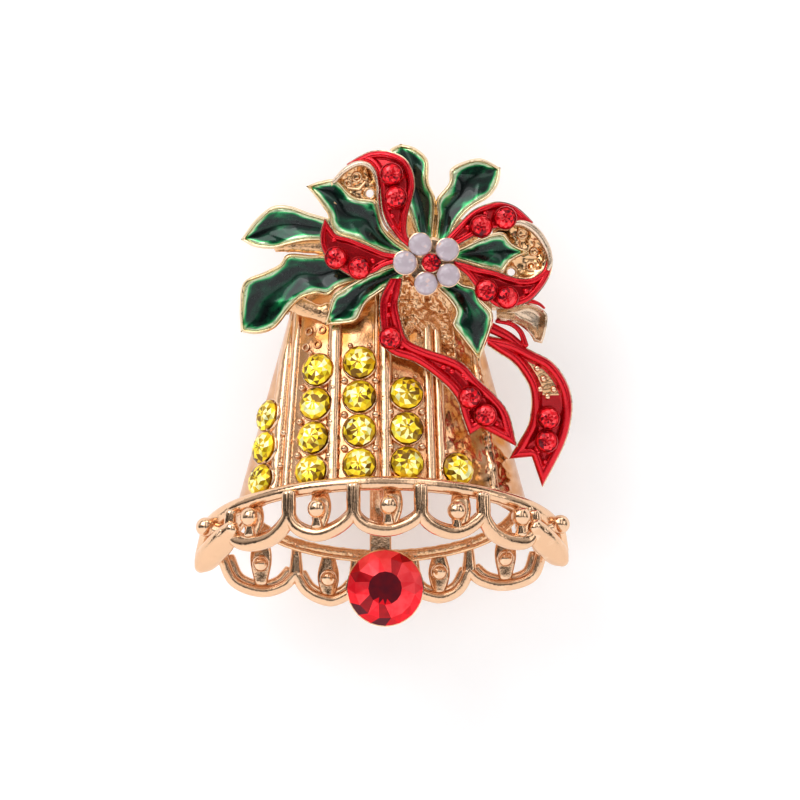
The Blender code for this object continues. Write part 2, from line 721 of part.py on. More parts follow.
COLUMNS = (
    (-10.1, -11.3, (-9.1, -12.2, -15.3)),
    (-5.95, -6.7, (-4.7, -7.95, -11.2, -14.4)),
    (-2.1, -2.1, (-4.0, -7.25, -10.5, -13.75)),
    (2.25, 2.35, (-6.95, -10.3, -13.6)),
    (6.7, 7.1, (-14.2,)),
)  # x near the top and at the lip, then the height of each stone

FRONT_STONES = {
    "ribbon_upper_left": ((0.9, 14.2), (1.3, 12.0)),
    "ribbon_left": ((-4.4, 6.2), (-2.2, 5.2)),
    "ribbon_right": ((9.5, 9.2), (11.8, 10.0), (10.0, 3.1), (12.0, 2.4)),
}
TAIL_STONES = ((0.8, -1.5), (8.4, -7.2), (9.9, -8.9))
SIDE_TAIL_STONES = ((16.0, -9.2), (15.8, -11.4))
OPALS = ((2.2, 5.7, 1.13), (3.65, 7.45, 1.1), (6.25, 6.95, 1.1), (6.35, 4.5, 1.1), (4.2, 3.7, 1.1))


def build_stones(yellow, red, opal):
    stone = gem_mesh("yellow_stone", YELLOW_RADIUS, 1.15)
    count = 0
    for top, bottom, heights in COLUMNS:
        for z in heights:
            count += 1
            x = column_x(top, bottom, z)
            set_stone(
                f"yellow_stone_{count:02d}", stone, bell_point(x, z, 0.15), bell_normal(x, z), yellow
            )
    build_red_stones(red)
    berry = gem_mesh("opal", 1.0, 1.3)
    for k, (x, z, radius) in enumerate(OPALS, 1):
        obj = set_stone(f"opal_{k}", berry.copy(), (x, hub_front() - GAP, z), (0, -1, 0), opal)
        obj.data.transform(Matrix.Diagonal((radius, radius, 1, 1)))
    core = gem_mesh("berry", 0.88, 1.0)
    set_stone("berry_red", core, (CROWN_X, hub_front() - GAP, CROWN_Z), (0, -1, 0), red)
    big = gem_mesh("clapper_stone", CLAPPER_RADIUS, 2.6)
    seat = (CLAPPER_X, CLAPPER_BACK_Y - 1.0 - GAP, CLAPPER_Z)
    set_stone("clapper_stone", big, seat, (0, -1, 0), red)


def build_red_stones(red):
    stone = gem_mesh("red_stone", STONE_RADIUS, 0.75)
    places = []
    for spots in FRONT_STONES.values():
        places += [(x, layer_y(x, z, 2), z) for x, z in spots]
    places += [(x, layer_y(x, z, 2, TAIL_FALL), z) for x, z in TAIL_STONES]
    places += [(x, layer_y(x, z, 0), z) for x, z in SIDE_TAIL_STONES]
    for k, (x, y, z) in enumerate(places, 1):
        set_stone(f"red_stone_{k:02d}", stone, (x, y - GAP - 0.06, z), (0, -1, 0), red)


def hub_front():
    return BACK_LAYER_Y - 2 * LAYER_STEP - 0.25


def build_berry_setting(gold):
    """The cluster's seat: a boss between the roots of the leaves, on a foot from the bell's shoulder."""
    back = BACK_LAYER_Y + 0.9
    boss = cylinder_mesh(
        "berry_setting", (CROWN_X, back, CROWN_Z), (CROWN_X, hub_front(), CROWN_Z), 2.1, 18
    )
    obj = piece("berry_setting", boss, gold)
    foot = cylinder_mesh("berry_foot", (3.9, back - 0.3, 4.6), (3.2, -6.0, 3.6), 0.7, 10)
    boolean(obj, helper("berry_foot", foot), "UNION")
    return obj


# ---------------------------------------------------------------- pin

HINGE_X = -PIN_HALF_LENGTH
CATCH_X = PIN_HALF_LENGTH
LUG_Z = (0.58, 0.95)


def build_pin_bar(gold):
    """The bar soldered across the back, with the two lugs of the hinge folded out of it."""
    bar = block_mesh("pin_bar", (-11.0, BACK_Y + GAP + 0.05, -1.15), (10.6, BAR_FACE_Y, 1.15))
    obj = piece("pin_bar", bar, gold, "pin_frame")
    for side in (-1, 1):
        low, high = sorted((side * LUG_Z[0], side * LUG_Z[1]))
        lug = block_mesh("lug", (HINGE_X - 0.85, BAR_FACE_Y - 0.3, low), (HINGE_X + 0.85, 0.75, high))
        boolean(obj, helper(f"lug_{side}", lug, "pin_frame"), "UNION")
    hole = cylinder_mesh("rivet_hole", (HINGE_X, 0, -2), (HINGE_X, 0, 2), 0.4, 12)
    boolean(obj, helper("rivet_hole", hole, "pin_frame"), "DIFFERENCE")
    return obj


def build_hinge_rivet(gold):
    rivet = cylinder_mesh("hinge_rivet", (HINGE_X, 0, -1.25), (HINGE_X, 0, 1.25), 0.26, 12)
    obj = piece("hinge_rivet", rivet, gold, "pin_frame")
    for side in (-1, 1):
        head = cylinder_mesh("head", (HINGE_X, 0, side * 1.06), (HINGE_X, 0, side * 1.36), 0.6, 12)
        boolean(obj, helper(f"rivet_head_{side}", head, "pin_frame"), "UNION")
    return obj


def build_pin_stem(steel):
    """The sprung wire that goes through the cloth, with its eye on the hinge's axis."""
    origin = Vector((HINGE_X, 0, 0)) * MM
    eye = cylinder_mesh("pin_stem", (0, 0, -0.42), (0, 0, 0.42), 0.78, 16)
    obj = piece("pin_stem", eye, steel, "pin_frame")
    obj.location = origin
    wire = np.array([(0.45, 0, 0), (19.6, 0, 0)])
    shaft = round_wire("pin_wire", wire, PIN_RADIUS, 1)
    point = bpy.data.meshes.new("pin_point")
    work = bmesh.new()
    bmesh.ops.create_cone(
        work,
        cap_ends=True,
        segments=8,
        radius1=PIN_RADIUS * MM,
        radius2=0.06 * MM,
        depth=2.2 * MM,
        matrix=Matrix.Translation(Vector((20.6, 0, 0)) * MM) @ Matrix.Rotation(math.pi / 2, 4, "Y"),
    )
    work.to_mesh(point)
    work.free()
    hole = cylinder_mesh("eye_hole", (0, 0, -1), (0, 0, 1), 0.38, 12)
    for name, mesh, operation in (
        ("pin_wire", shaft, "UNION"), ("pin_point", point, "UNION"), ("eye_hole", hole, "DIFFERENCE"),
    ):
        cutter = helper(name, mesh, "pin_frame")
        cutter.location = origin
        boolean(obj, cutter, operation)
    return obj


def build_catch(gold):
    """A C-shaped housing on a foot, open towards the cloth."""
    half = 0.85
    outer = cylinder_mesh("catch", (CATCH_X - half, 0, 0), (CATCH_X + half, 0, 0), 1.45, 24)
    obj = piece("catch", outer, gold, "pin_frame")
    bore = cylinder_mesh("catch_bore", (CATCH_X - 2, 0, 0), (CATCH_X + 2, 0, 0), 1.08, 24)
    boolean(obj, helper("catch_bore", bore, "pin_frame"), "DIFFERENCE")
    slot = block_mesh("catch_slot", (CATCH_X - 2, 0, -0.66), (CATCH_X + 2, 2, 0.66))
    boolean(obj, helper("catch_slot", slot, "pin_frame"), "DIFFERENCE")
    foot = block_mesh(
        "catch_foot", (CATCH_X - half, BAR_FACE_Y + GAP, -0.9), (CATCH_X + half, -1.2, 0.9)
    )
    boolean(obj, helper("catch_foot", foot, "pin_frame"), "UNION")
    return obj


def build_catch_rotor(gold):
    """The lock: a slotted barrel that turns round the pin inside the catch, with a thumb tab."""
    origin = Vector((CATCH_X, 0, 0)) * MM
    barrel = cylinder_mesh("catch_rotor", (-1.05, 0, 0), (1.5, 0, 0), 0.96, 24)
    obj = piece("catch_rotor", barrel, gold, "pin_frame")
    obj.location = origin
    tab = block_mesh("rotor_tab", (1.0, -0.35, 0.7), (1.45, 0.35, 1.95))
    bore = cylinder_mesh("rotor_bore", (-2, 0, 0), (2, 0, 0), 0.56, 16)
    slot = block_mesh("rotor_slot", (-2, 0, -0.53), (2, 2, 0.53))
    for name, mesh, operation in (
        ("rotor_tab", tab, "UNION"),
        ("rotor_bore", bore, "DIFFERENCE"),
        ("rotor_slot", slot, "DIFFERENCE"),
    ):
        cutter = helper(name, mesh, "pin_frame")
        cutter.location = origin
        boolean(obj, cutter, operation)
    return obj


# ---------------------------------------------------------------- assembly


def build():
    clear_scene()
    gold = material("rose_gold_plate", (0.86, 0.60, 0.42), 1.0, 0.2)
    pale_gold = material("pin_plate", (0.80, 0.62, 0.44), 1.0, 0.3)
    steel = material("pin_steel", (0.75, 0.72, 0.68), 1.0, 0.25)
    green = material("green_enamel", (0.02, 0.22, 0.10), 0.2, 0.1)
    crimson = material("red_enamel", (0.62, 0.02, 0.06), 0.2, 0.12)
    yellow = material("yellow_crystal", (0.80, 0.72, 0.05), 0.0, 0.05)
    ruby = material("red_crystal", (0.75, 0.01, 0.05), 0.0, 0.05)
    opal = material("white_opal", (0.86, 0.82, 0.84), 0.0, 0.15)
    build_shell(gold)
    build_front_gallery(gold)
    build_back_gallery(gold)
    build_clapper(gold)
    build_leaves(green)
    build_ribbon(crimson)
    build_berry_setting(gold)
    build_stones(yellow, ruby, opal)
    build_pin_bar(pale_gold)
    build_hinge_rivet(pale_gold)
    build_pin_stem(steel)
    build_catch(pale_gold)
    build_catch_rotor(pale_gold)
    for obj in bpy.data.collections["brooch"].objects:
        if obj.type == "MESH":
            smooth(obj.data)


build()
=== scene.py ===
import math

import bmesh
import bpy
import numpy as np
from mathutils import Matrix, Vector


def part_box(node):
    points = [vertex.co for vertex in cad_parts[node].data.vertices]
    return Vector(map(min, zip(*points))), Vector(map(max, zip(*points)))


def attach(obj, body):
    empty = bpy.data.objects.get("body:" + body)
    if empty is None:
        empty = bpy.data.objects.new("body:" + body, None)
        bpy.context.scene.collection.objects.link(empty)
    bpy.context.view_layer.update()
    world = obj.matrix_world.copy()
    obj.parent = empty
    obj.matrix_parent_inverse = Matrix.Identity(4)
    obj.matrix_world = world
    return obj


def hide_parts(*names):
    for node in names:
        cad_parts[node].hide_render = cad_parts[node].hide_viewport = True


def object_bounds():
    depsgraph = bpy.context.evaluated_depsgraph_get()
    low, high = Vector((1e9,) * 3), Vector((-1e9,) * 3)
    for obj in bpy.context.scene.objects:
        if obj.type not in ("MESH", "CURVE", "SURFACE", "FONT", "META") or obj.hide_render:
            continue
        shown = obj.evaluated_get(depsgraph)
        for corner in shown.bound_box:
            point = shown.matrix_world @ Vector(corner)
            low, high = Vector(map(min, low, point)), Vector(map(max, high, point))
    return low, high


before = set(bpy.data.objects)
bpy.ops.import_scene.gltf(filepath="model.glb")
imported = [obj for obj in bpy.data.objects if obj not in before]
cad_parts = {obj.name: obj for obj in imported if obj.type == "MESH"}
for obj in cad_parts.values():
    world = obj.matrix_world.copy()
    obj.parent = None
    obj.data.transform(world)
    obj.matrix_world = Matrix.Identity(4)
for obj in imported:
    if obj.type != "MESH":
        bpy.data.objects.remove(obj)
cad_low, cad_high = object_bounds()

# A bell brooch in rose-gold plated casting, with foiled crystals, enamelled holly and a ribbon
# bow. Every size is in millimetres, with x and y as in the frame and z measured from a level
# SHELL_TOP below the crown of the bell, near its shoulder; +Z is up as the brooch is worn.
MM = 0.001
SHELL_TOP = 4.6
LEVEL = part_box("bell_shell")[1][2] - SHELL_TOP * MM


def place(points):
    """Frame metres of points in the brooch's millimetres: scaled, then moved to its level."""
    return np.asarray(points, float) * MM + np.array([0.0, 0.0, LEVEL])


def centre_of(node):
    """Middle of a CAD node's box, in the brooch's millimetres."""
    low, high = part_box(node)
    return (np.array((low + high) / 2) - np.array([0.0, 0.0, LEVEL])) / MM


# ---------------------------------------------------------------- the studio
# A white sweep stands close behind the brooch and runs forward as a floor below it. Soft boxes,
# strips and a white room light it; the sweep is seen only from its front.
SWEEP_Y = 0.0052
SWEEP_SIZE = 0.5
SWEEP_BEND = 0.02
FLOOR_Z = float(cad_low[2]) - 0.028
PAPER_WHITE, PAPER_GLOW = (0.93, 0.93, 0.935, 1), 0.19
LENS = 400
VIEW_WIDTH = 0.0768
VIEW_LEVEL_Y = -0.008  # the depth at which the view is VIEW_WIDTH wide
AIM_RIGHT, AIM_DOWN = 0.0017, 0.0013


def points_at(x, y, z):
    """One array of points from three coordinates, each a number or an array."""
    return np.stack(np.broadcast_arrays(x, y, z), axis=-1)


def sweep_grid(width, depth, height, radius, turn=16):
    """Profile of a wall, a quarter circle and a floor, carried sideways along x."""
    bend = np.linspace(0, np.pi / 2, turn)
    curve_y = SWEEP_Y - radius * (1 - np.cos(bend))
    curve_z = FLOOR_Z + radius * (1 - np.sin(bend))
    y = np.concatenate([[SWEEP_Y], curve_y, [SWEEP_Y - depth]])
    z = np.concatenate([[FLOOR_Z + height], curve_z, [FLOOR_Z]])
    x = np.linspace(-width / 2, width / 2, 2)
    return points_at(x[None, :], y[:, None], z[:, None])


def quads(rows, columns, wrap=False):
    """Corner numbers of a grid's faces, row by row; wrap joins the last column to the first."""
    corner = np.arange(rows * columns).reshape(rows, columns)
    beside = np.roll(corner, -1, axis=1) if wrap else corner[:, 1:]
    here = corner if wrap else corner[:, :-1]
    return np.stack([here[:-1], beside[:-1], beside[1:], here[1:]], axis=-1).reshape(-1, 4)


def new_finish(name, **sockets):
    """A material whose shader has the given constants; a socket's spaces are written as _."""
    made = bpy.data.materials.new(name)
    made.use_nodes = True
    shader = made.node_tree.nodes["Principled BSDF"]
    for socket, value in sockets.items():
        shader.inputs[socket.replace("_", " ")].default_value = value
    return made, made.node_tree.nodes, made.node_tree.links, shader


def fitted(nodes, kind, values=None, **settings):
    """One shader node with its settings, and constants on the sockets named in values."""
    made = nodes.new("ShaderNode" + kind)
    for setting, value in settings.items():
        setattr(made, setting, value)
    for socket, value in (values or {}).items():
        made.inputs[socket].default_value = value
    return made


def tone_ramp(nodes, stops):
    """A colour ramp through (place, colour) stops."""
    ramp = nodes.new("ShaderNodeValToRGB")
    tones = ramp.color_ramp.elements
    tones[0].position, tones[1].position = stops[0][0], stops[-1][0]
    tones[0].color, tones[1].color = (*stops[0][1], 1), (*stops[-1][1], 1)
    for share, tone in stops[1:-1]:
        tones.new(share).color = (*tone, 1)
    return ramp


sweep_points = sweep_grid(SWEEP_SIZE, SWEEP_SIZE, SWEEP_SIZE, SWEEP_BEND)
sweep_mesh = bpy.data.meshes.new("sweep")
sweep_mesh.from_pydata(
    sweep_points.reshape(-1, 3).tolist(), [], quads(*sweep_points.shape[:2]).tolist())
sweep_mesh.shade_smooth()
if sweep_mesh.polygons[0].normal.y > 0:
    sweep_mesh.flip_normals()  # the faces look forward and up
sweep = bpy.data.objects.new("sweep", sweep_mesh)
bpy.context.scene.collection.objects.link(sweep)

paper, nodes, links, sheet = new_finish(
    "white_paper", Base_Color=PAPER_WHITE, Roughness=0.9, Specular_IOR_Level=0.1,
    Emission_Color=(1, 1, 1, 1), Emission_Strength=PAPER_GLOW)
clear = fitted(nodes, "BsdfTransparent")
side = fitted(nodes, "NewGeometry")
either = fitted(nodes, "MixShader")
links.new(side.outputs["Backfacing"], either.inputs["Fac"])
links.new(sheet.outputs["BSDF"], either.inputs[1])
links.new(clear.outputs["BSDF"], either.inputs[2])
links.new(either.outputs["Shader"], nodes["Material Output"].inputs["Surface"])
sweep_mesh.materials.append(paper)

middle = (np.array(cad_low) + np.array(cad_high)) / 2
aim = Vector((middle[0] + AIM_RIGHT, VIEW_LEVEL_Y, middle[2] - AIM_DOWN))
lens = bpy.data.cameras.new("camera")
lens.lens = LENS
lens.clip_start = 0.01
camera = bpy.data.objects.new("camera", lens)
camera.location = aim - Vector((0, VIEW_WIDTH * LENS / lens.sensor_width, 0))
camera.rotation_euler = (math.radians(90), 0, 0)
bpy.context.scene.collection.objects.link(camera)
bpy.context.scene.camera = camera


def soft_box(name, towards, distance, width, height, power):
    """An area light at a distance along a direction from the brooch, turned to face it."""
    light = bpy.data.lights.new(name, "AREA")
    light.shape = "RECTANGLE"
    light.size, light.size_y = width, height
    light.energy = power
    lamp = bpy.data.objects.new(name, light)
    direction = Vector(towards).normalized()
    lamp.location = aim + direction * distance
    lamp.rotation_euler = direction.to_track_quat("Z", "Y").to_euler()
    bpy.context.scene.collection.objects.link(lamp)


soft_box("key_box", (-0.75, -0.9, 1.0), 0.34, 0.20, 0.20, 0.42)
soft_box("fill_box", (1.0, -0.8, 0.35), 0.36, 0.10, 0.24, 0.12)
soft_box("top_strip", (0.1, -0.35, 1.0), 0.32, 0.26, 0.05, 0.09)
soft_box("low_strip", (-0.2, -0.9, -0.75), 0.36, 0.22, 0.05, 0.035)

# What the polished metal sees is a pale room above, a dark line at the horizon, a grey floor,
# two bright strips and two dark flags. Other rays meet an even grey, and the camera sees white.
ROOM_POWER = 0.68
EVEN_GREY, OPEN_WHITE = (0.78, 0.78, 0.79, 1), (1.7, 1.7, 1.7, 1)
UP_DOWN = (
    (0.0, 0.30), (0.28, 0.42), (0.41, 0.24), (0.46, 0.05), (0.52, 0.06),
    (0.57, 0.40), (0.68, 0.95), (0.86, 0.85), (1.0, 0.5),
)  # share of the way up, and how bright the room is there
LEFT_RIGHT = (
    (0.0, 0.9), (0.12, 0.9), (0.16, 0.10), (0.24, 0.10), (0.28, 0.85),
    (0.335, 0.80), (0.35, 3.2), (0.42, 3.2), (0.435, 0.80), (0.59, 0.80),
    (0.605, 2.8), (0.665, 2.8), (0.68, 0.80), (0.74, 0.80), (0.77, 0.10),
    (0.85, 0.10), (0.89, 0.9),
)
room = bpy.data.worlds.new("white_room")
bpy.context.scene.world = room
room.use_nodes = True
nodes, links = room.node_tree.nodes, room.node_tree.links
where = fitted(nodes, "TexCoord")
axes = fitted(nodes, "SeparateXYZ")
links.new(where.outputs["Generated"], axes.inputs["Vector"])


def room_ramp(axis, stops):
    """Grey levels along one axis of the room, whose coordinates run from -1 to 1."""
    spread = fitted(nodes, "MapRange", {"From Min": -1.0})
    links.new(axes.outputs[axis], spread.inputs["Value"])
    ramp = tone_ramp(nodes, [(share, (grey, grey, grey)) for share, grey in stops])
    links.new(spread.outputs["Result"], ramp.inputs["Fac"])
    return ramp.outputs["Color"]


flagged = fitted(nodes, "Mix", data_type="RGBA", blend_type="MULTIPLY")
flagged.inputs["Factor"].default_value = 1.0
links.new(room_ramp("Z", UP_DOWN), flagged.inputs["A"])
links.new(room_ramp("X", LEFT_RIGHT), flagged.inputs["B"])
ray = fitted(nodes, "LightPath")
mirrored = fitted(nodes, "Mix", data_type="RGBA")
mirrored.inputs["A"].default_value = EVEN_GREY
links.new(ray.outputs["Is Glossy Ray"], mirrored.inputs["Factor"])
links.new(flagged.outputs["Result"], mirrored.inputs["B"])
seen = fitted(nodes, "Mix", data_type="RGBA")
seen.inputs["B"].default_value = OPEN_WHITE
links.new(ray.outputs["Is Camera Ray"], seen.inputs["Factor"])
links.new(mirrored.outputs["Result"], seen.inputs["A"])
links.new(seen.outputs["Result"], nodes["Background"].inputs["Color"])
nodes["Background"].inputs["Strength"].default_value = ROOM_POWER
bpy.context.scene.view_settings.view_transform = "Standard"


# ---------------------------------------------------------------- the plated casting
# Every metal part is cast, tumbled and plated in rose gold. The plating is polished but not
# flat: soft waves from the mould, a few fine pits, and painted shade, darker and redder, in hollows.


def group_socket(group, name, kind, way, value=None):
    """One named input or output of a node group."""
    made = group.interface.new_socket(name=name, in_out=way, socket_type=kind)
    if value is not None:
        made.default_value = value


cast_skin = bpy.data.node_groups.new("cast_skin", "ShaderNodeTree")
group_socket(cast_skin, "Wave Size", "NodeSocketFloat", "INPUT", 900.0)
group_socket(cast_skin, "Pit Size", "NodeSocketFloat", "INPUT", 5000.0)
group_socket(cast_skin, "Polish", "NodeSocketFloat", "INPUT", 0.12)
group_socket(cast_skin, "Bright", "NodeSocketColor", "INPUT", (0.90, 0.62, 0.44, 1))
group_socket(cast_skin, "Shade Tone", "NodeSocketColor", "INPUT", (0.62, 0.30, 0.12, 1))
group_socket(cast_skin, "Color", "NodeSocketColor", "OUTPUT")
group_socket(cast_skin, "Roughness", "NodeSocketFloat", "OUTPUT")
group_socket(cast_skin, "Height", "NodeSocketFloat", "OUTPUT")
nodes, links = cast_skin.nodes, cast_skin.links
given = nodes.new("NodeGroupInput")
result = nodes.new("NodeGroupOutput")
where = fitted(nodes, "TexCoord")
waves = fitted(nodes, "TexNoise", {"Detail": 2.0})
pits = fitted(nodes, "TexNoise", {"Detail": 4.0})
for noise, size in ((waves, "Wave Size"), (pits, "Pit Size")):
    links.new(where.outputs["Object"], noise.inputs["Vector"])
    links.new(given.outputs[size], noise.inputs["Scale"])
# Painted shade: hollows, where pointiness is low, take the darker, redder shade colour.
hollows = fitted(nodes, "NewGeometry")
crease_shade = fitted(nodes, "MapRange", {"From Min": 0.40, "From Max": 0.55})
links.new(hollows.outputs["Pointiness"], crease_shade.inputs["Value"])
tone = fitted(nodes, "Mix", data_type="RGBA")
links.new(crease_shade.outputs["Result"], tone.inputs["Factor"])
links.new(given.outputs["Shade Tone"], tone.inputs["A"])
links.new(given.outputs["Bright"], tone.inputs["B"])
links.new(tone.outputs["Result"], result.inputs["Color"])
dull = fitted(nodes, "MapRange", {"From Min": 0.35, "From Max": 0.75, "To Max": 0.10})
links.new(pits.outputs["Fac"], dull.inputs["Value"])
added = fitted(nodes, "Math")
links.new(dull.outputs["Result"], added.inputs[0])
links.new(given.outputs["Polish"], added.inputs[1])
links.new(added.outputs["Value"], result.inputs["Roughness"])
mixed = fitted(nodes, "Math", {1: 0.25}, operation="MULTIPLY_ADD")
links.new(pits.outputs["Fac"], mixed.inputs[0])
links.new(waves.outputs["Fac"], mixed.inputs[2])
links.new(mixed.outputs["Value"], result.inputs["Height"])


def plated(name, bright, deep, polish=0.12, bump=0.00009, wave_size=900.0, pit_size=5000.0):
    """A plated metal: cast_skin gives its colour, roughness and bump, with painted shade in hollows; a
    per-point attribute paints more shade, towards the deep colour.
    """
    made, nodes, links, shader = new_finish(name, Metallic=1.0)
    skin = fitted(nodes, "Group", node_tree=cast_skin)
    for socket, value in (
        ("Bright", (*bright, 1)), ("Shade Tone", (*deep, 1)), ("Polish", polish),
        ("Wave Size", wave_size), ("Pit Size", pit_size),
    ):
        skin.inputs[socket].default_value = value
    relief = fitted(nodes, "Bump", {"Strength": 0.5, "Distance": bump})
    # Painted shade: a per-point attribute moves the colour towards the deep, redder tone.
    painted_shade = fitted(nodes, "Attribute", attribute_name="painted_shade")
    shaded_tone = fitted(nodes, "Mix", data_type="RGBA")
    shaded_tone.inputs["B"].default_value = (*deep, 1)
    links.new(painted_shade.outputs["Fac"], shaded_tone.inputs["Factor"])
    links.new(skin.outputs["Color"], shaded_tone.inputs["A"])
    links.new(shaded_tone.outputs["Result"], shader.inputs["Base Color"])
    links.new(skin.outputs["Roughness"], shader.inputs["Roughness"])
    links.new(skin.outputs["Height"], relief.inputs["Height"])
    links.new(relief.outputs["Normal"], shader.inputs["Normal"])
    return made


rose_gold = plated("rose_gold", (0.87, 0.59, 0.39), (0.56, 0.21, 0.05))
hammered_gold = plated(
    "hammered_gold", (0.86, 0.55, 0.32), (0.50, 0.18, 0.04), 0.16, 0.00025, 1400.0, 4200.0)


# ---------------------------------------------------------------- bell shell
# The front half of a bell in one casting, open behind: an elliptical section that widens
# downwards, with pairs of ribs between the columns of stones and a shoulder that closes it.
BACK_Y = -2.4
SHOULDER_Z, LIP_Z = 0.8, -15.8
SHOULDER_HALF_WIDTH, SHOULDER_DEPTH = 8.8, 4.35
SIDE_SLOPE, FRONT_SLOPE = 0.277, 0.28
LIP_HALF_WIDTH, LIP_DEPTH, LIP_DROP = 16.6, 9.9, 5.3
SHELL_WALL, EXTRA_WALL = 0.62, 0.3  # the wall, and what it gains where it stands off the back
RIB_PAIRS = (
    (-9.5, -10.4, 0.44, 0.46), (-8.45, -9.25, 0.34, 0.30), (-4.55, -4.8, 0.44, 0.52),
    (0.35, 0.45, 0.44, 0.52), (-0.55, -0.6, 0.16, 0.16), (4.45, 4.8, 0.38, 0.40),
    (5.4, 5.8, 0.38, 0.36), (9.2, 10.8, 0.36, 0.30),
)  # x near the top, x at the lip, height, half width
COLUMNS = (
    (-10.1, -11.3, 3), (-5.95, -6.7, 4), (-2.1, -2.1, 4), (2.25, 2.35, 3), (6.7, 7.1, 1),
)  # x near the top, x at the lip, and how many stones the column holds
COLUMN_TOP_Z, COLUMN_LENGTH = -4.5, 11.5
HAMMER_HEIGHT, RIPPLE_HEIGHT = 0.13, 0.02
EDGE_FADE = 12  # the relief fades out over a twelfth of the half width, at either side


def half_width(z):
    """Half the bell's width at a height."""
    return SHOULDER_HALF_WIDTH + SIDE_SLOPE * (SHOULDER_Z - z)


def half_depth(z):
    """How far the bell's front stands before its flat back at a height."""
    return SHOULDER_DEPTH + FRONT_SLOPE * (SHOULDER_Z - z)


def column_x(top, bottom, z):
    """Line down the bell from its place near the top to its place at the lip."""
    return top + (bottom - top) * (COLUMN_TOP_Z - z) / COLUMN_LENGTH


def bell_point(x, z, raised=0.0):
    """Point of the bell's front: on the ellipse of its level, then out along the normal."""
    a, b = half_width(z), half_depth(z)
    sine = np.clip(x / a, -1, 1)
    cosine = np.sqrt(1 - sine**2)
    rise = SIDE_SLOPE * sine**2 * b + FRONT_SLOPE * cosine**2 * a
    normal = points_at(sine * b, -cosine * a, rise)
    normal /= np.linalg.norm(normal, axis=-1, keepdims=True)
    point = points_at(x, BACK_Y - b * cosine, z)
    return point + np.asarray(raised)[..., None] * normal, normal


def lumps(x, z, size, seed):
    """Smooth random lumps: a lattice of heights from -1 to 1, blended between its corners."""
    cells = 97
    lattice = np.random.default_rng(seed).uniform(-1, 1, (cells, cells))
    u, v = x / size + 300.0, z / size + 300.0  # moved well above zero
    i, j = np.floor(u).astype(int), np.floor(v).astype(int)
    s, t = u - i, v - j
    s, t = s * s * (3 - 2 * s), t * t * (3 - 2 * t)
    i, j, i_next, j_next = i % cells, j % cells, (i + 1) % cells, (j + 1) % cells
    low = lattice[i, j] * (1 - s) + lattice[i_next, j] * s
    high = lattice[i, j_next] * (1 - s) + lattice[i_next, j_next] * s
    return low * (1 - t) + high * t


def bell_relief(x, z):
    """Height over the plain bell: a half ellipse across each rib's line, and hammering.

    The hammering is full at the far right and at the left side, half strong beside the last
    rib, and everywhere there is a faint ripple.
    """
    height = np.zeros(np.broadcast(x, z).shape)
    for top, bottom, high, wide in RIB_PAIRS:
        away = np.clip(np.abs(x - column_x(top, bottom, z)) / (wide * 1.2), 0, 1)
        height = np.maximum(height, high * np.sqrt(1 - away**2))
    right = np.clip((x - column_x(8.6, 10.0, z)) / 0.8, 0, 1) + 0.5 * np.clip((x - 5.9) / 0.5, 0, 1)
    left = 0.8 * np.clip((-9.7 - x) / 0.8, 0, 1)
    hammered = lumps(x, z, 0.75, 3) + 0.6 * lumps(x, z, 0.33, 4)
    ripple = RIPPLE_HEIGHT * lumps(x, z, 0.9, 5)
    return height + HAMMER_HEIGHT * np.clip(right + left, 0, 1) * hammered + ripple


def shell_grid(across=440, down=92, crown=12):
    """Rows from the arched mouth up to the shoulder, then a quarter ellipse over the crown."""
    angle = np.linspace(-np.pi / 2, np.pi / 2, across)[None, :]
    share = np.linspace(1, 0, down)[:, None]
    level = SHOULDER_Z + (LIP_Z - SHOULDER_Z) * share
    x = half_width(level) * np.sin(angle)
    arch = LIP_DROP * (1 - np.sqrt(np.clip(1 - (x / LIP_HALF_WIDTH) ** 2, 0, 1)))
    z = SHOULDER_Z + (LIP_Z - arch - SHOULDER_Z) * share
    x = half_width(z) * np.sin(angle)
    inside = np.clip((1 - np.abs(x) / half_width(z)) * EDGE_FADE, 0, 1)
    body, _ = bell_point(x, z, bell_relief(x, z) * inside)
    turn = np.radians(np.linspace(0, 86, crown + 1)[1:])[:, None]
    cap_x = body[-1, :, 0] * np.cos(turn)
    cap_y = BACK_Y + (body[-1, :, 1] - BACK_Y) * np.cos(turn)
    cap_z = SHOULDER_Z + (SHELL_TOP - SHOULDER_Z) * np.sin(turn)
    return np.concatenate([body, points_at(cap_x, cap_y, cap_z)])


def build(name, parts, finish, stands_for=(), attributes=None, flat=False):
    """One finished piece from (points, faces) parts in millimetres, its faces turned outwards.

    An attribute is one value for each point, or one for all. A flat piece keeps its facets.
    """
    clouds = [np.asarray(points, float).reshape(-1, 3) for points, _ in parts]
    starts = np.cumsum([0] + [len(cloud) for cloud in clouds])
    faces = [corners for (_, part), start in zip(parts, starts) for corners in (part + start).tolist()]
    mesh = bpy.data.meshes.new(name)
    mesh.from_pydata(place(np.concatenate(clouds)).tolist(), [], faces)
    for key, values in (attributes or {}).items():
        layer = mesh.attributes.new(key, "FLOAT", "POINT")
        layer.data.foreach_set("value", np.full(starts[-1], np.ravel(values), np.float32))
    work = bmesh.new()
    work.from_mesh(mesh)
    bmesh.ops.remove_doubles(work, verts=work.verts, dist=1e-7)
    bmesh.ops.recalc_face_normals(work, faces=work.faces)
    work.to_mesh(mesh)
    work.free()
    if not flat:
        mesh.shade_smooth()
        mesh.set_sharp_from_angle(angle=math.radians(50))
    mesh.materials.append(finish)
    piece = bpy.data.objects.new(name, mesh)
    bpy.context.scene.collection.objects.link(piece)
    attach(piece, "brooch")
    if stands_for:
        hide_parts(*stands_for)
    return piece


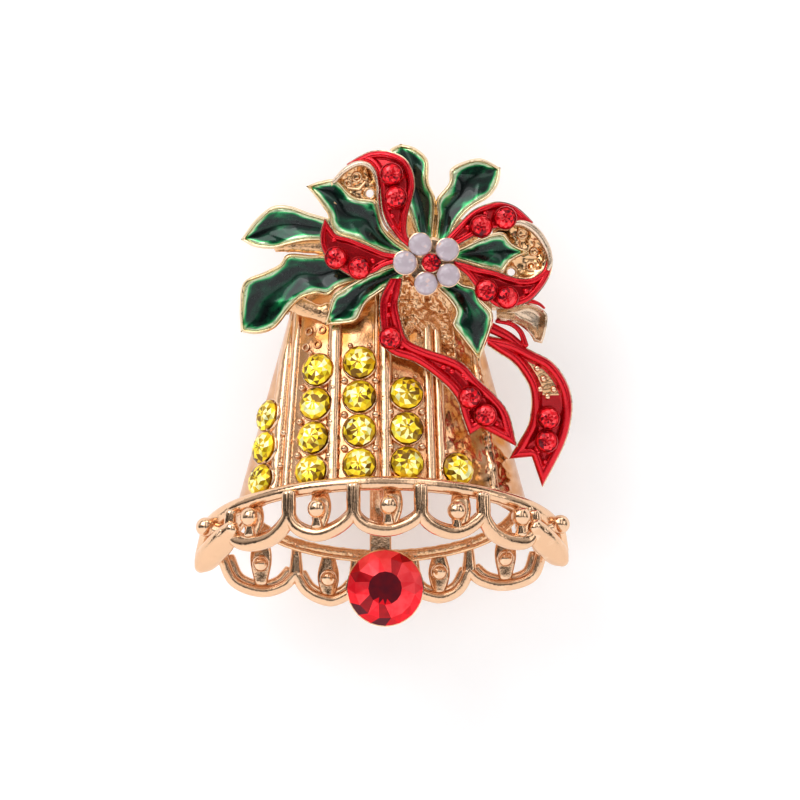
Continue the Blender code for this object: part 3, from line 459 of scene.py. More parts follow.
def walled(front, back):
    """A closed slab between two grids of one shape: both faces and the wall round their edge."""
    rows, columns = front.shape[:2]
    size = rows * columns
    face = quads(rows, columns)
    corner = np.arange(size).reshape(rows, columns)
    rim = np.concatenate([corner[0], corner[1:, -1], corner[-1, -2::-1], corner[-2:0:-1, 0]])
    after = np.roll(rim, -1)
    edge = np.stack([rim, after, after + size, rim + size], axis=-1)
    points = np.concatenate([front.reshape(-1, 3), back.reshape(-1, 3)])
    return points, np.concatenate([face, face[:, ::-1] + size, edge])


def ball(centre, radius, around, up):
    """A sphere as rings of latitude, each closed on itself, with shared poles."""
    latitude = np.linspace(-np.pi / 2, np.pi / 2, up)[:, None]
    longitude = np.linspace(0, 2 * np.pi, around, endpoint=False)[None, :]
    grid = points_at(
        np.cos(latitude) * np.cos(longitude), np.cos(latitude) * np.sin(longitude), np.sin(latitude))
    return grid * radius + np.array(centre), quads(up, around, wrap=True)


def through(points, count):
    """Catmull-Rom curve through the points, with even steps along their chords."""
    points = np.array(points, float)
    steps = np.linalg.norm(np.diff(points, axis=0), axis=1)
    knots = np.concatenate([[0], np.cumsum(steps)])
    ends = np.vstack([2 * points[0] - points[1], points, 2 * points[-1] - points[-2]])
    at = np.linspace(0, knots[-1], count)
    spans = np.clip(np.searchsorted(knots, at, side="right") - 1, 0, len(points) - 2)
    t = ((at - knots[spans]) / steps[spans])[:, None]
    a, b, c, d = (ends[spans + k] for k in range(4))
    square, cube = 2 * a - 5 * b + 4 * c - d, 3 * b - a - 3 * c + d
    return 0.5 * (2 * b + (c - a) * t + square * t**2 + cube * t**3)


ROD_END = ((0.5, 0.87), (0.87, 0.5), (1.0, 0.0))  # how far out each closing ring is, and its size


def rod(path, wide, deep, up=(0, 1, 0), around=16, power=1.0):
    """A rounded bar along a path: a superellipse section, its two half sizes given along the way.

    wide is measured across the path and square to up, deep along what is left of up; both ends
    are closed by rings that shrink to the middle. power below 1 squares the section.
    """
    path = np.asarray(path, float)
    along = np.gradient(path, axis=0)
    along /= np.linalg.norm(along, axis=1, keepdims=True)
    side = np.cross(along, np.broadcast_to(up, path.shape))
    side /= np.linalg.norm(side, axis=1, keepdims=True)
    upward = np.cross(side, along)
    wide = np.broadcast_to(wide, len(path)).astype(float)
    deep = np.broadcast_to(deep, len(path)).astype(float)
    angle = np.linspace(0, 2 * np.pi, around, endpoint=False)
    cosine = np.sign(np.cos(angle)) * np.abs(np.cos(angle)) ** power
    sine = np.sign(np.sin(angle)) * np.abs(np.sin(angle)) ** power
    section = side[:, None] * (wide[:, None] * cosine)[..., None]
    section = section + upward[:, None] * (deep[:, None] * sine)[..., None]
    step = along * np.minimum(wide, deep)[:, None] * 0.7
    first = [path[0] - step[0] * out + section[0] * size for out, size in ROD_END[::-1]]
    last = [path[-1] + step[-1] * out + section[-1] * size for out, size in ROD_END]
    rings = np.concatenate([first, path[:, None] + section, last])
    return rings, quads(len(rings), around, wrap=True)


def tilted_ring(spot, normal, radius, wide, deep, steps):
    """A ring of wire about a normal: a circle in the plane across it, carried as a bar."""
    across = np.cross(normal, (0, 0, 1.0))
    across /= np.linalg.norm(across)
    upward = np.cross(across, normal)
    turn = np.linspace(0, 2 * np.pi, steps)[:, None]
    circle = spot + radius * (np.cos(turn) * across + np.sin(turn) * upward)
    return rod(circle, wide, deep, up=normal, around=8)


shell_front = shell_grid()
shell_back = shell_front.copy()
shell_back[..., 0] *= 1 - SHELL_WALL / half_width(shell_front[..., 2])
inner_depth = (shell_front[..., 1] - BACK_Y) * (1 - SHELL_WALL / half_depth(shell_front[..., 2]))
clear_of_back = shell_front[..., 1] < BACK_Y - 1.0
shell_back[..., 1] = np.minimum(BACK_Y, BACK_Y + inner_depth + EXTRA_WALL * clear_of_back)
parts = [walled(shell_front, shell_back)]

# Between the stones stand pairs of small beads, which are pressed over to hold them. The first
# channel starts with a group of empty seats, which are plain rings.
BEAD_RADIUS, BEAD_SPREAD, BEAD_RAISED, BEAD_LOWERED = 0.36, 1.48, 0.16, 0.2
BEAD_ABOVE, BEAD_BELOW = 1.75, 1.7  # from the first and the last stone to the beads past them
END_BEAD_SIZE, END_BEAD_SPREAD = 0.75, 0.62
EMPTY_SEATS = ((-7.0, -1.35), (-5.75, -1.2), (-6.2, -2.6), (-7.3, -2.9), (-4.9, -2.8))
SEAT_RADIUS, SEAT_WIRE, SEAT_RAISED = 0.33, 0.11, 0.10
stone_number = 0
for top, bottom, count in COLUMNS:
    numbers = range(stone_number + 1, stone_number + count + 1)
    heights = [centre_of(f"yellow_stone_{number:02d}")[2] - BEAD_LOWERED for number in numbers]
    stone_number += count
    gaps = [heights[0] + BEAD_ABOVE]
    gaps += [(high + low) / 2 for high, low in zip(heights, heights[1:])]
    gaps += [heights[-1] - BEAD_BELOW]
    for k, z in enumerate(gaps):
        end = k in (0, len(gaps) - 1)
        for side in (-1, 1):
            spread = BEAD_SPREAD * (END_BEAD_SPREAD if end else 1.0)
            x = np.array(column_x(top, bottom, z) + side * spread)
            if abs(x) < half_width(z) * 0.97:
                spot, _ = bell_point(x, np.array(z), BEAD_RAISED)
                parts.append(ball(spot, BEAD_RADIUS * (END_BEAD_SIZE if end else 1.0), 14, 8))
for x, z in EMPTY_SEATS:
    spot, normal = bell_point(np.array(x), np.array(z), SEAT_RAISED)
    parts.append(tilted_ring(spot, normal, SEAT_RADIUS, SEAT_WIRE, SEAT_WIRE, 17))

# Painted shade: the metal is darker and redder under the leaves, beside the ribbon's tail and in patches
# over the panels, but not on the ribs and other raised relief.
points = np.concatenate([np.reshape(cloud, (-1, 3)) for cloud, _ in parts])
x, z = points[:, 0], points[:, 2]
under_leaves = np.clip((z + 4.6) / 2.6, 0, 1) * (0.75 + 0.5 * lumps(x, z, 0.9, 8))
beside_tail = np.clip((x - column_x(5.9, 6.4, z)) / 0.5, 0, 1) * (0.6 + 0.6 * lumps(x, z, 0.8, 9))
channels = 0.30 + 0.35 * lumps(x, z, 0.7, 10)
painted_shade = np.clip(np.maximum(np.maximum(under_leaves, beside_tail), channels), 0, 1)
painted_shade = painted_shade * np.clip(1 - bell_relief(x, z) / 0.25, 0, 1)
build("bell_casting", parts, rose_gold, ("bell_shell",), {"painted_shade": painted_shade})
# ---------------------------------------------------------------- front gallery
# The mouth's edging, cast with the bell: a smooth lip, five scallops that hang from it like a
# valance, a swept bar at either end, a post at each junction, and a round bead in each scallop
# on a foot and a strap.
LIP_RADIUS, LIP_GROWS = 0.70, 0.45  # and by what share it is thicker towards its ends
SCALLOP_DEPTH, SCALLOP_TAPER = 0.62, 0.26
STRAP_DEPTH = 0.30
FRONT_SCALLOPS = (  # (x, z) along the middle of each bar, from the left
    ((-14.5, -20.0), (-14.1, -21.2), (-12.6, -21.7), (-10.5, -21.1), (-9.0, -19.4)),
    ((-8.7, -19.2), (-7.9, -20.3), (-6.1, -20.8), (-4.2, -20.1), (-2.9, -18.8)),
    ((-2.5, -18.9), (-1.4, -20.0), (0.5, -20.35), (2.2, -19.9), (3.5, -18.9)),
    ((3.9, -18.9), (4.9, -20.0), (6.7, -20.6), (8.2, -20.2), (9.5, -19.1)),
    ((9.8, -19.3), (10.7, -20.7), (12.3, -21.5), (13.9, -21.4), (14.6, -20.0)),
)
FRONT_BAR_HALF = (0.76, 0.66, 0.62, 0.66, 0.74)
FRONT_BEADS = ((-12.65, -19.15), (-6.2, -18.3), (0.65, -17.95), (7.15, -18.5), (13.3, -19.1))
FRONT_POSTS = (-14.6, -8.9, -2.7, 3.7, 9.65, 14.9)
END_BARS = (
    ((-14.3, -20.2), (-15.4, -21.6), (-16.5, -22.8), (-17.4, -23.9)),
    ((14.6, -20.0), (15.4, -21.2), (16.3, -22.2), (17.3, -23.3)),
)
END_BEADS = ((-17.0, -20.15), (17.15, -19.9))
BEAD_SIZE = 0.93


def lip_point(degrees, outward=0.0, drop=0.0):
    """Point on the lip's half ellipse, moved away from the bell's axis and down."""
    angle = np.radians(degrees)
    x = (LIP_HALF_WIDTH + outward) * np.sin(angle)
    y = BACK_Y - (LIP_DEPTH + outward) * np.cos(angle)
    return points_at(x, y, LIP_Z - LIP_DROP * (1 - np.cos(angle)) - drop)


def hanging(points, outward=1.2):
    """Points (x, z) of the edging, given the depth of the lip's half ellipse at their x."""
    points = np.asarray(points, float)
    share = np.clip(points[:, 0] / (LIP_HALF_WIDTH + outward), -1, 1)
    y = BACK_Y - (LIP_DEPTH + outward) * np.sqrt(1 - share**2)
    return points_at(points[:, 0], y, points[:, 1])


def lip_z(x):
    """Height of the lip's middle above a given x."""
    share = np.clip(x, -16.5, 16.5) / LIP_HALF_WIDTH
    return LIP_Z - LIP_DROP * (1 - np.sqrt(1 - share**2))


turn = np.linspace(-90, 90, 140)
lip_size = LIP_RADIUS * (1 + LIP_GROWS * np.clip((np.abs(turn) - 42) / 34, 0, 1))
parts = [rod(lip_point(turn, 0.0, 0.08), lip_size * 0.95, lip_size, up=(0, 0, 1), around=24)]
# A narrow shelf joins the lip to the shell's lower edge.
turn = np.linspace(-88, 88, 90)
shelf_out = lip_point(turn, -0.3)
shelf_in = points_at(
    (half_width(shelf_out[:, 2]) - 0.5) * np.sin(np.radians(turn)),
    BACK_Y - (half_depth(shelf_out[:, 2]) - 0.5) * np.cos(np.radians(turn)),
    shelf_out[:, 2] + 0.35)
shelf = np.stack([shelf_in, (shelf_in + shelf_out) / 2 + [0, 0, 0.1], shelf_out], axis=1)
parts.append(walled(shelf + [0, 0, 0.28], shelf - [0, 0, 0.28]))
for points, half in zip(FRONT_SCALLOPS, FRONT_BAR_HALF):
    (first_x, _), (last_x, _) = points[0], points[-1]
    climb = [(first_x, lip_z(first_x) - 0.2), (first_x - 0.05, lip_z(first_x) - 1.4)]
    drop = [(last_x + 0.05, lip_z(last_x) - 1.4), (last_x, lip_z(last_x) - 0.2)]
    path = through(hanging([*climb, *points, *drop]), 64)
    taper = 1 - SCALLOP_TAPER * np.abs(np.linspace(-1, 1, 64)) ** 3
    parts.append(rod(path, half * taper, SCALLOP_DEPTH * taper, around=24, power=0.9))
    inner = path[14:-14] + [0, 0.75, 0.30]
    parts.append(rod(inner, half * 0.8, 0.45, around=16, power=0.8))
for x, z in FRONT_BEADS:
    bead = hanging([(x, z)], 1.35)[0]
    parts.append(ball(bead, BEAD_SIZE, 32, 18))
    foot = np.linspace(bead + [0, 0.1, -0.7], bead + [0, 0.1, -1.7], 8)
    parts.append(rod(foot, np.linspace(0.34, 0.6, 8), 0.4, around=14))
    strap = through([
        (x + 0.2, bead[1] + 2.3, lip_z(x)), (x + 0.35, bead[1] + 1.6, z + 0.7),
        (x + 0.35, bead[1] + 1.0, z - 0.5), (x + 0.2, bead[1] + 0.6, z - 1.8),
    ], 24)
    swell = 0.62 + 0.38 * np.sin(np.linspace(0.3, 2.8, 24)) ** 2
    parts.append(rod(strap, swell, STRAP_DEPTH, power=0.75))
for x in FRONT_POSTS:
    top = hanging([(x, lip_z(x))], 0.1)[0]
    foot = hanging([(x, lip_z(x) - 2.1)], 1.15)[0]
    post = through([top, (top + foot) / 2 + [0, -0.1, 0], foot, foot + [0, 0, -0.7]], 16)
    parts.append(rod(post, np.linspace(0.45, 0.38, 16) + 0.30 * np.linspace(0, 1, 16) ** 4, 0.5))
for points, (x, z) in zip(END_BARS, END_BEADS):
    side = np.sign(x)
    path = through(hanging(points, 1.5), 40)
    share = np.linspace(0, 1, 40)
    wide = (0.80 + 0.50 * np.sin(np.pi * np.clip(share * 1.25, 0, 0.62))) * (1 - 0.45 * share**9)
    parts.append(rod(path, wide, 0.80, around=28))
    parts.append(rod(path[8:30] + [0.35 * side, -0.5, 0.55], 0.34, 0.34))
    bead = hanging([(x, z)], 1.4)[0]
    parts.append(ball(bead, BEAD_SIZE, 32, 18))
    root = np.linspace(bead, bead + [-1.6 * side, -0.3, -0.6], 10)
    parts.append(rod(root, np.linspace(0.4, 0.7, 10), 0.5, around=14))
    tip = hanging([points[-1]], 1.0)[0] + [0, 0.2, 0.8]
    brace = through([lip_point(side * 82), bead + [-0.3 * side, 0.3, -0.4], tip], 20)
    parts.append(rod(brace, np.linspace(0.8, 0.7, 20), 0.55, around=18, power=0.85))
build("front_gallery_casting", parts, rose_gold, ("front_gallery",))


# ---------------------------------------------------------------- back gallery
# The far half of the mouth, seen through the near one: a flat arc with a hammered face, five
# scallops of bar with a step inside each, and beads on teardrop straps that hang from the arc.
# It is cast with the bell, at the depth of its flat back.
BACK_ARC_HALF_WIDTH, BACK_ARC_Z, BACK_ARC_SAG = 13.0, -18.1, 4.9
BACK_ARC_SIZE, BACK_ARC_DENTS = 0.50, 0.04
BACK_BEAD_SIZE = 0.80
BACK_SCALLOPS = (
    ((-15.5, -22.9), (-14.3, -25.4), (-11.8, -26.4), (-9.6, -25.9), (-8.2, -24.5)),
    ((-8.4, -24.6), (-7.2, -26.4), (-5.1, -27.3), (-3.4, -26.7), (-2.5, -25.8)),
    ((-2.7, -25.9), (-1.6, -27.4), (0.3, -28.1), (2.1, -27.3), (3.2, -25.8)),
    ((3.0, -25.9), (3.9, -26.6), (5.7, -27.0), (7.4, -26.2), (8.5, -24.2)),
    ((8.3, -24.3), (9.7, -25.4), (12.0, -25.8), (14.5, -24.9), (15.4, -22.6)),
)
BACK_BEADS = ((-11.7, -23.7), (-5.2, -25.1), (0.3, -25.7), (5.5, -24.5), (11.9, -23.2))
BACK_MIDDLE_Y = BACK_Y - 0.65


def flat_path(points, count, y=BACK_MIDDLE_Y):
    """A curve through (x, z) points, at one depth or at one depth for each step."""
    curve = through(points, count)
    return points_at(curve[:, 0], y, curve[:, 1])


def arc_z(x):
    """Height of the back arc's middle at a given x."""
    return BACK_ARC_Z - BACK_ARC_SAG * np.sqrt(1 - (x / BACK_ARC_HALF_WIDTH) ** 2)


turn = np.radians(np.linspace(-88, 88, 130))
arc = points_at(BACK_ARC_HALF_WIDTH * np.sin(turn), BACK_MIDDLE_Y,
                BACK_ARC_Z - BACK_ARC_SAG * np.cos(turn))
step = np.arange(130)
arc_size = BACK_ARC_SIZE + BACK_ARC_DENTS * np.sin(step * 1.9) * np.sin(step * 0.7)
build("back_arc_casting", [
    rod(arc + [0, 0, 0.12], arc_size, 0.5, around=20, power=0.7),
    rod(arc + [0, -0.35, -0.42], 0.22, 0.4, around=14, power=0.8),
], hammered_gold)
parts = []
for points in BACK_SCALLOPS:
    parts.append(rod(flat_path(points, 44), 0.58, 0.6, around=20, power=0.85))
    middle = np.mean(points, axis=0)
    inner = np.array(points) + 0.22 * (middle + [0, 1.2] - np.array(points))
    parts.append(rod(flat_path(inner, 30, BACK_MIDDLE_Y + 0.35), 0.50, 0.34, around=12))
for x, z in BACK_BEADS:
    parts.append(ball((x, BACK_Y - 1.5, z), BACK_BEAD_SIZE, 28, 16))
    stations = [(x, arc_z(x) + 0.1), (x, z + 0.6), (x, z - 0.8), (x, z - 2.0)]
    swell = np.sin(np.linspace(0.5, 2.5, 20)) ** 3
    parts.append(rod(flat_path(stations, 20, BACK_MIDDLE_Y + 0.1), 0.50 + 0.55 * swell, 0.32, around=20))
for loop, other in zip(BACK_SCALLOPS, BACK_SCALLOPS[1:]):
    x, foot_z = (loop[-1][0] + other[0][0]) / 2, loop[-1][1]
    post = flat_path([(x, arc_z(x) + 0.1), (x, (arc_z(x) + foot_z) / 2), (x, foot_z - 0.3)], 14)
    parts.append(rod(post, np.linspace(0.42, 0.75, 14), 0.6, around=14, power=0.8))
for side, end in ((-1, BACK_SCALLOPS[0][0]), (1, BACK_SCALLOPS[-1][-1])):
    tie = [(end[0] - 0.1 * side, end[1] - 0.3), (side * 14.2, -20.8), (side * 12.9, -18.9)]
    parts.append(rod(flat_path(tie, 14), 0.42, 0.6, around=14, power=0.8))
build("back_gallery_casting", parts, rose_gold, ("back_gallery",))


# ---------------------------------------------------------------- clapper
# A cup on a flat arm, cast in one and soldered inside the front of the bell, so it doesn't
# swing. The cup's thin wall is pressed over the girdle of the big stone.
stone_low, stone_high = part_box("clapper_stone")
clapper_at = centre_of("clapper_stone")
CLAPPER_RADIUS = float(stone_high[0] - stone_low[0]) / MM / 2
CUP_BACK_Y, CUP_FRONT_Y = -6.6, -8.9
ARM_X = clapper_at[0] - 0.45
ARM_HALF_WIDTH, ARM_HALF_DEPTH = 1.05, 0.36
ARM_BEHIND = -1.15  # how far under the bell's front the arm is soldered


def turned(profile, centre, around=64):
    """A turned form: (radius, y) pairs spun about a line along y through the centre."""
    profile = np.array(profile, float)
    angle = np.linspace(0, 2 * np.pi, around, endpoint=False)
    x = centre[0] + profile[:, :1] * np.cos(angle)
    z = centre[2] + profile[:, :1] * np.sin(angle)
    return points_at(x, profile[:, 1:], z), quads(len(profile), around, wrap=True)


cup_profile = (
    (0, CUP_BACK_Y), (2.6, CUP_BACK_Y), (3.3, CUP_BACK_Y - 0.25), (3.62, CUP_BACK_Y - 0.9),
    (3.72, CUP_BACK_Y - 1.7), (3.72, CUP_FRONT_Y), (3.62, CUP_FRONT_Y - 0.08),
    (3.52, CUP_FRONT_Y), (3.46, CUP_BACK_Y - 1.6), (2.6, CUP_BACK_Y - 1.05), (0, CUP_BACK_Y - 1.05),
)
arm_foot, _ = bell_point(np.array(ARM_X), np.array(-12.0), ARM_BEHIND)
arm_top, _ = bell_point(np.array(ARM_X), np.array(-7.5), ARM_BEHIND)
arm_path = through([
    (ARM_X, CUP_BACK_Y - 0.45, clapper_at[2]), (ARM_X, CUP_BACK_Y - 0.45, -20.5),
    (ARM_X, CUP_BACK_Y - 0.75, -16.5), arm_foot, arm_top,
], 50)
parts = [turned(cup_profile, clapper_at), rod(arm_path, ARM_HALF_WIDTH, ARM_HALF_DEPTH, power=0.6)]
build("clapper_casting", parts, rose_gold, ("clapper",))


# ---------------------------------------------------------------- round-cut stones
# Foiled crystals, pressed into their seats: a flat table, a crown of facets and a silvered back.
# The back shows through the table as bright and dark wedges, so each facet carries its own
# share of light, which its material turns into a colour.
CROWN_BREAK, BACK_SIZE = 0.80, 0.7  # sizes of two of a stone's rings, as shares of its radius
RING_HEIGHTS = (1.0, 1.0, 0.80, 0.55, 0.0)
CONTRAST = (0.34, 0.56, 0.66, 0.62, 0.5, 0.36, 0.34, 0.1, 0.1, 0.0)  # for ten bands of facets
ODD_BANDS = (0, 0, 0, 1, 1, 0, 0, 0, 0, 0)
LOW_SHADE = (0, 0, 0, 0.10, 0.10, 0.42, 0.42, 0.5, 0.5, 0)
SWAPPED, ONE_SIDED, UNEVEN = 0.24, 0.17, 0.26
FLASH, FLASH_FROM = 0.30, 0.93


def cut_stone(radius, height, rng, sides=8, table=0.5, star=0.24, dark=0.14, window=False):
    """A round stone as rings of flat facets, with a share of light for each facet.

    Rings from the middle out: a small star, the table's edge, the crown's break, the girdle and
    the blunt back; the star and the break are turned half a step. Light alternates from wedge
    to wedge, a draw swaps some of them, one side is lighter, and a few facets flash. With a
    window the table is dark but for three small facets, and the lower side falls off.
    """
    fine = 2 * sides
    k = np.arange(fine)
    after = (k + 1) % fine
    sizes = np.array([star, table, CROWN_BREAK, 1.0, BACK_SIZE])[:, None] * radius
    levels = np.array(RING_HEIGHTS)[:, None] * height
    angle = (k + np.array([0.5, 0.0, 0.5, 0.0, 0.0])[:, None]) * 2 * np.pi / fine
    points = points_at(sizes * np.cos(angle), sizes * np.sin(angle), levels)
    points = np.vstack([points.reshape(-1, 3), [(0, 0, height), (0, 0, 0)]])
    top = np.full(fine, 5 * fine)
    inner, edge, mid, girdle, back = (k + ring * fine for ring in range(5))
    inner_next, edge_next, mid_next, girdle_next, back_next = (
        after + ring * fine for ring in range(5))
    faces = np.stack([
        (top, inner, inner_next), (inner, edge, edge_next), (inner, edge_next, inner_next),
        (edge, mid, edge_next), (mid, mid_next, edge_next),
        (mid, girdle, girdle_next), (mid, girdle_next, mid_next),
        (girdle, back, back_next), (girdle, back_next, girdle_next), (back, top + 1, back_next),
    ]).transpose(2, 0, 1).reshape(-1, 3)
    around = (k + 0.5) * 2 * np.pi / fine
    lit = ((k[:, None] + ODD_BANDS) % 2) ^ (rng.random((fine, 10)) < SWAPPED)
    lean = ONE_SIDED * np.cos(around - rng.random() * 2 * np.pi)[:, None]
    uneven = UNEVEN * (rng.random((fine, 10)) - 0.38)
    flash = FLASH * (rng.random((fine, 10)) > FLASH_FROM)
    light = dark + np.array(CONTRAST) * lit + lean + uneven + flash
    if window:
        wedge = (rng.random(fine) < 0.62).astype(float)[:, None]
        crown = 0.26 + 0.50 * wedge + 0.14 * rng.random((fine, 10))
        low_side = np.clip(0.2 - np.sin(around + 0.3), 0, 1)[:, None]
        light = crown - low_side * np.array(LOW_SHADE)
        light[:, :3] = dark - 0.08
        light[10:13, 1] = 0.60
    return points, faces, light.ravel()


# Painted glow: each facet's colour is also emitted, standing in for light that the foil sends back through
# the crystal.
GLOW = 0.14  # light that the foil sends back through the crystal
CLOUD_SIZE, CLOUD_SHARE = 1500.0, 0.20


def foiled(name, ramp):
    """Crystal over foil: a colour ramp on each facet's painted share of light, under a clear gloss; the
    same colour is emitted as a painted glow.
    """
    made, nodes, links, shader = new_finish(
        name, Metallic=0.7, Roughness=0.30, Coat_Weight=0.14, Coat_Roughness=0.02, Coat_IOR=1.6,
        Emission_Strength=GLOW)
    facet = fitted(nodes, "Attribute", attribute_name="light")
    where = fitted(nodes, "TexCoord")
    cloud = fitted(nodes, "TexNoise", {"Scale": CLOUD_SIZE})
    links.new(where.outputs["Object"], cloud.inputs["Vector"])
    shift = fitted(nodes, "Math", {1: CLOUD_SHARE}, operation="MULTIPLY_ADD")
    links.new(cloud.outputs["Fac"], shift.inputs[0])
    links.new(facet.outputs["Fac"], shift.inputs[2])
    tones = tone_ramp(nodes, ramp)
    links.new(shift.outputs["Value"], tones.inputs["Fac"])
    links.new(tones.outputs["Color"], shader.inputs["Base Color"])
    links.new(tones.outputs["Color"], shader.inputs["Emission Color"])
    return made


yellow_crystal = foiled("yellow_crystal", (
    (0.15, (0.16, 0.07, 0.001)), (0.34, (0.50, 0.29, 0.002)), (0.54, (0.90, 0.58, 0.004)),
    (0.78, (1.0, 0.80, 0.03)), (1.0, (1.0, 1.0, 0.50)),
))
red_crystal = foiled("red_crystal", (
    (0.12, (0.09, 0.003, 0.010)), (0.34, (0.28, 0.001, 0.005)), (0.58, (0.80, 0.003, 0.012)),
    (0.80, (0.92, 0.008, 0.02)), (1.0, (1.0, 0.07, 0.08)),
))


def set_stone(node, name, radius, height, normal, finish, slot, rng, spin=0.0, **cut):
    """A cut stone on its seat: centred on the CAD stone, its table square to the normal."""
    points, faces, light = cut_stone(radius, height, rng, **cut)
    cosine, sine = math.cos(spin), math.sin(spin)
    turn = np.array([[cosine, -sine, 0], [sine, cosine, 0], [0, 0, 1]])
    aimed = np.array(Vector(normal).to_track_quat("Z", "Y").to_matrix())
    seat = centre_of(node) - height / 2 * np.asarray(normal)
    stone = points @ turn.T @ aimed.T + seat
    piece = build(name, [(stone, faces)], finish, (node,), flat=True)
    layer = piece.data.attributes.new("light", "FLOAT", "FACE")
    layer.data.foreach_set("value", light.astype(np.float32))


rng = np.random.default_rng(7)
YELLOW_RADIUS, YELLOW_HEIGHT = 1.55, 1.0
YELLOW_SEAT_RADIUS, YELLOW_SEAT_SUNK = 1.62, 0.42
CLAPPER_HEIGHT = 2.2
rims = []
for number in range(1, stone_number + 1):
    node = f"yellow_stone_{number:02d}"
    spot = centre_of(node)
    _, normal = bell_point(np.array(spot[0] * 0.96), np.array(spot[2]))
    set_stone(node, f"yellow_crystal_{number:02d}", YELLOW_RADIUS, YELLOW_HEIGHT, normal,
              yellow_crystal, "yellow_crystal", rng, 3.0 * rng.random(),
              sides=6, table=0.52, star=0.16)
    rims.append(tilted_ring(
        spot - YELLOW_SEAT_SUNK * normal, normal, YELLOW_SEAT_RADIUS, 0.12, 0.24, 41))
build("stone_seats", rims, rose_gold)
set_stone("clapper_stone", "clapper_crystal", CLAPPER_RADIUS, CLAPPER_HEIGHT, (0, -1, 0), red_crystal,
          "red_crystal", rng, table=0.44, star=0.28, dark=0.14, window=True)


# ---------------------------------------------------------------- holly leaves
# Each leaf is a gold casting with a raised rim and a valley along its midrib, filled with
# translucent green enamel and soldered in behind the berries. The enamel is pale where it runs
# thin beside the rim and over the side veins, and dark where it pools along the midrib.
CROWN = centre_of("berry_red")
LAYER_Y, LAYER_STEP, LAYER_FALL = -8.7, 0.97, 0.10  # leaves and ribbons lie in layers from 0 out
LEAVES = {
    "leaf_left": (0, (
        (-1.5, 8.6), (-4.6, 9.4), (-7.1, 10.1), (-8.8, 10.7), (-10.5, 10.7), (-12.2, 9.4),
        (-13.6, 7.5),
    ), (
        (-1.5, 7.2), (-4.6, 7.3), (-7.1, 7.3), (-8.8, 7.0), (-10.5, 6.6), (-12.3, 6.8), (-13.6, 7.5),
    )),
    "leaf_lower_left": (0, (
        (0.6, 5.6), (-3.8, 6.0), (-6.6, 6.0), (-9.0, 6.1), (-9.9, 5.1), (-11.3, 4.4), (-13.3, 3.4),
        (-13.7, 1.0), (-13.6, -1.4),
    ), (
        (0.6, 4.2), (-3.8, 3.0), (-5.1, 2.1), (-6.3, 2.2), (-7.7, 1.8), (-8.8, 0.8), (-10.3, -1.0),
        (-12.0, -1.6), (-13.6, -1.4),
    )),
    "leaf_upper_left": (1, (
        (3.2, 6.4), (1.9, 7.0), (0.8, 7.9), (0.1, 8.9), (-0.3, 10.4), (-0.7, 11.3), (-2.7, 11.7),
        (-4.3, 13.2), (-5.9, 13.1), (-7.3, 12.6),
    ), (
        (3.0, 5.4), (1.1, 5.9), (-0.9, 6.6), (-2.4, 7.3), (-4.3, 7.9), (-5.0, 8.8), (-5.2, 9.8),
        (-5.7, 10.6), (-6.6, 11.8), (-7.3, 12.6),
    )),
    "leaf_top": (0, (
        (4.1, 6.2), (3.2, 8.0), (2.6, 9.8), (2.0, 11.7), (1.4, 13.6), (0.7, 15.3), (0.8, 16.2),
        (1.8, 16.7),
    ), (
        (4.9, 6.2), (5.0, 8.1), (5.15, 10.1), (5.1, 11.5), (4.5, 13.0), (4.4, 15.1), (3.2, 16.3),
        (1.8, 16.7),
    )),
    "leaf_top_right": (0, (
        (4.9, 6.2), (5.05, 7.9), (5.2, 9.6), (5.2, 11.3), (6.4, 12.9), (6.7, 14.4), (9.3, 15.3),
        (11.4, 14.4),
    ), (
        (5.6, 6.2), (6.7, 7.9), (7.4, 9.2), (8.5, 10.4), (10.1, 11.4), (10.9, 12.3), (11.3, 13.2),
        (11.4, 14.4),
    )),
    "leaf_right": (1, (
        (6.0, 6.1), (7.0, 6.5), (7.9, 6.9), (8.9, 7.4), (10.4, 8.0), (11.7, 8.1), (12.6, 7.1), (14.2, 6.3),
    ), (
        (6.0, 5.5), (7.2, 5.4), (8.6, 5.0), (9.6, 4.7), (10.8, 4.5), (11.6, 4.3), (12.5, 5.4), (14.2, 6.3),
    )),
    "leaf_lower_right": (1, (
        (4.8, 4.8), (5.0, 3.6), (5.3, 2.7), (6.2, 1.8), (7.0, 0.6), (6.7, -0.7), (7.6, -2.0), (9.3, -4.2),
    ), (
        (6.2, 5.0), (6.9, 4.1), (7.8, 3.2), (9.0, 2.9), (9.5, 1.7), (10.6, 0.4), (10.4, -1.4), (9.3, -4.2),
    )),
    "leaf_lower": (1, (
        (2.8, 5.4), (0.9, 5.0), (-0.8, 4.4), (-2.4, 3.6), (-3.9, 2.7), (-4.9, 1.8), (-5.5, -0.7),
    ), (
        (3.0, 4.0), (1.3, 3.2), (-0.2, 2.3), (-1.5, 1.3), (-2.4, -0.3), (-3.8, -0.7), (-5.5, -0.7),
    )),
}  # the layer, then the two edges as (x, z) from root to tip
RIM_HEIGHT, RIM_INSET, RIM_HALF_WIDTH = 0.22, 0.20, 0.16
VALLEY, TIP_CURL, EDGE_WAVE = 0.55, 0.5, 0.16
LEAF_BACK = 0.68  # from a layer's front to the back of a leaf
VEINS, VEIN_HEIGHT = 5.2, 0.07
ENAMEL_WAVE, ENAMEL_GRAIN = 660.0, 3300.0


def layer_y(x, z, layer, fall=LAYER_FALL):
    """Front of a layer, falling back with the distance from the berries."""
    return LAYER_Y - layer * LAYER_STEP + fall * np.hypot(x - CROWN[0], z - CROWN[2])


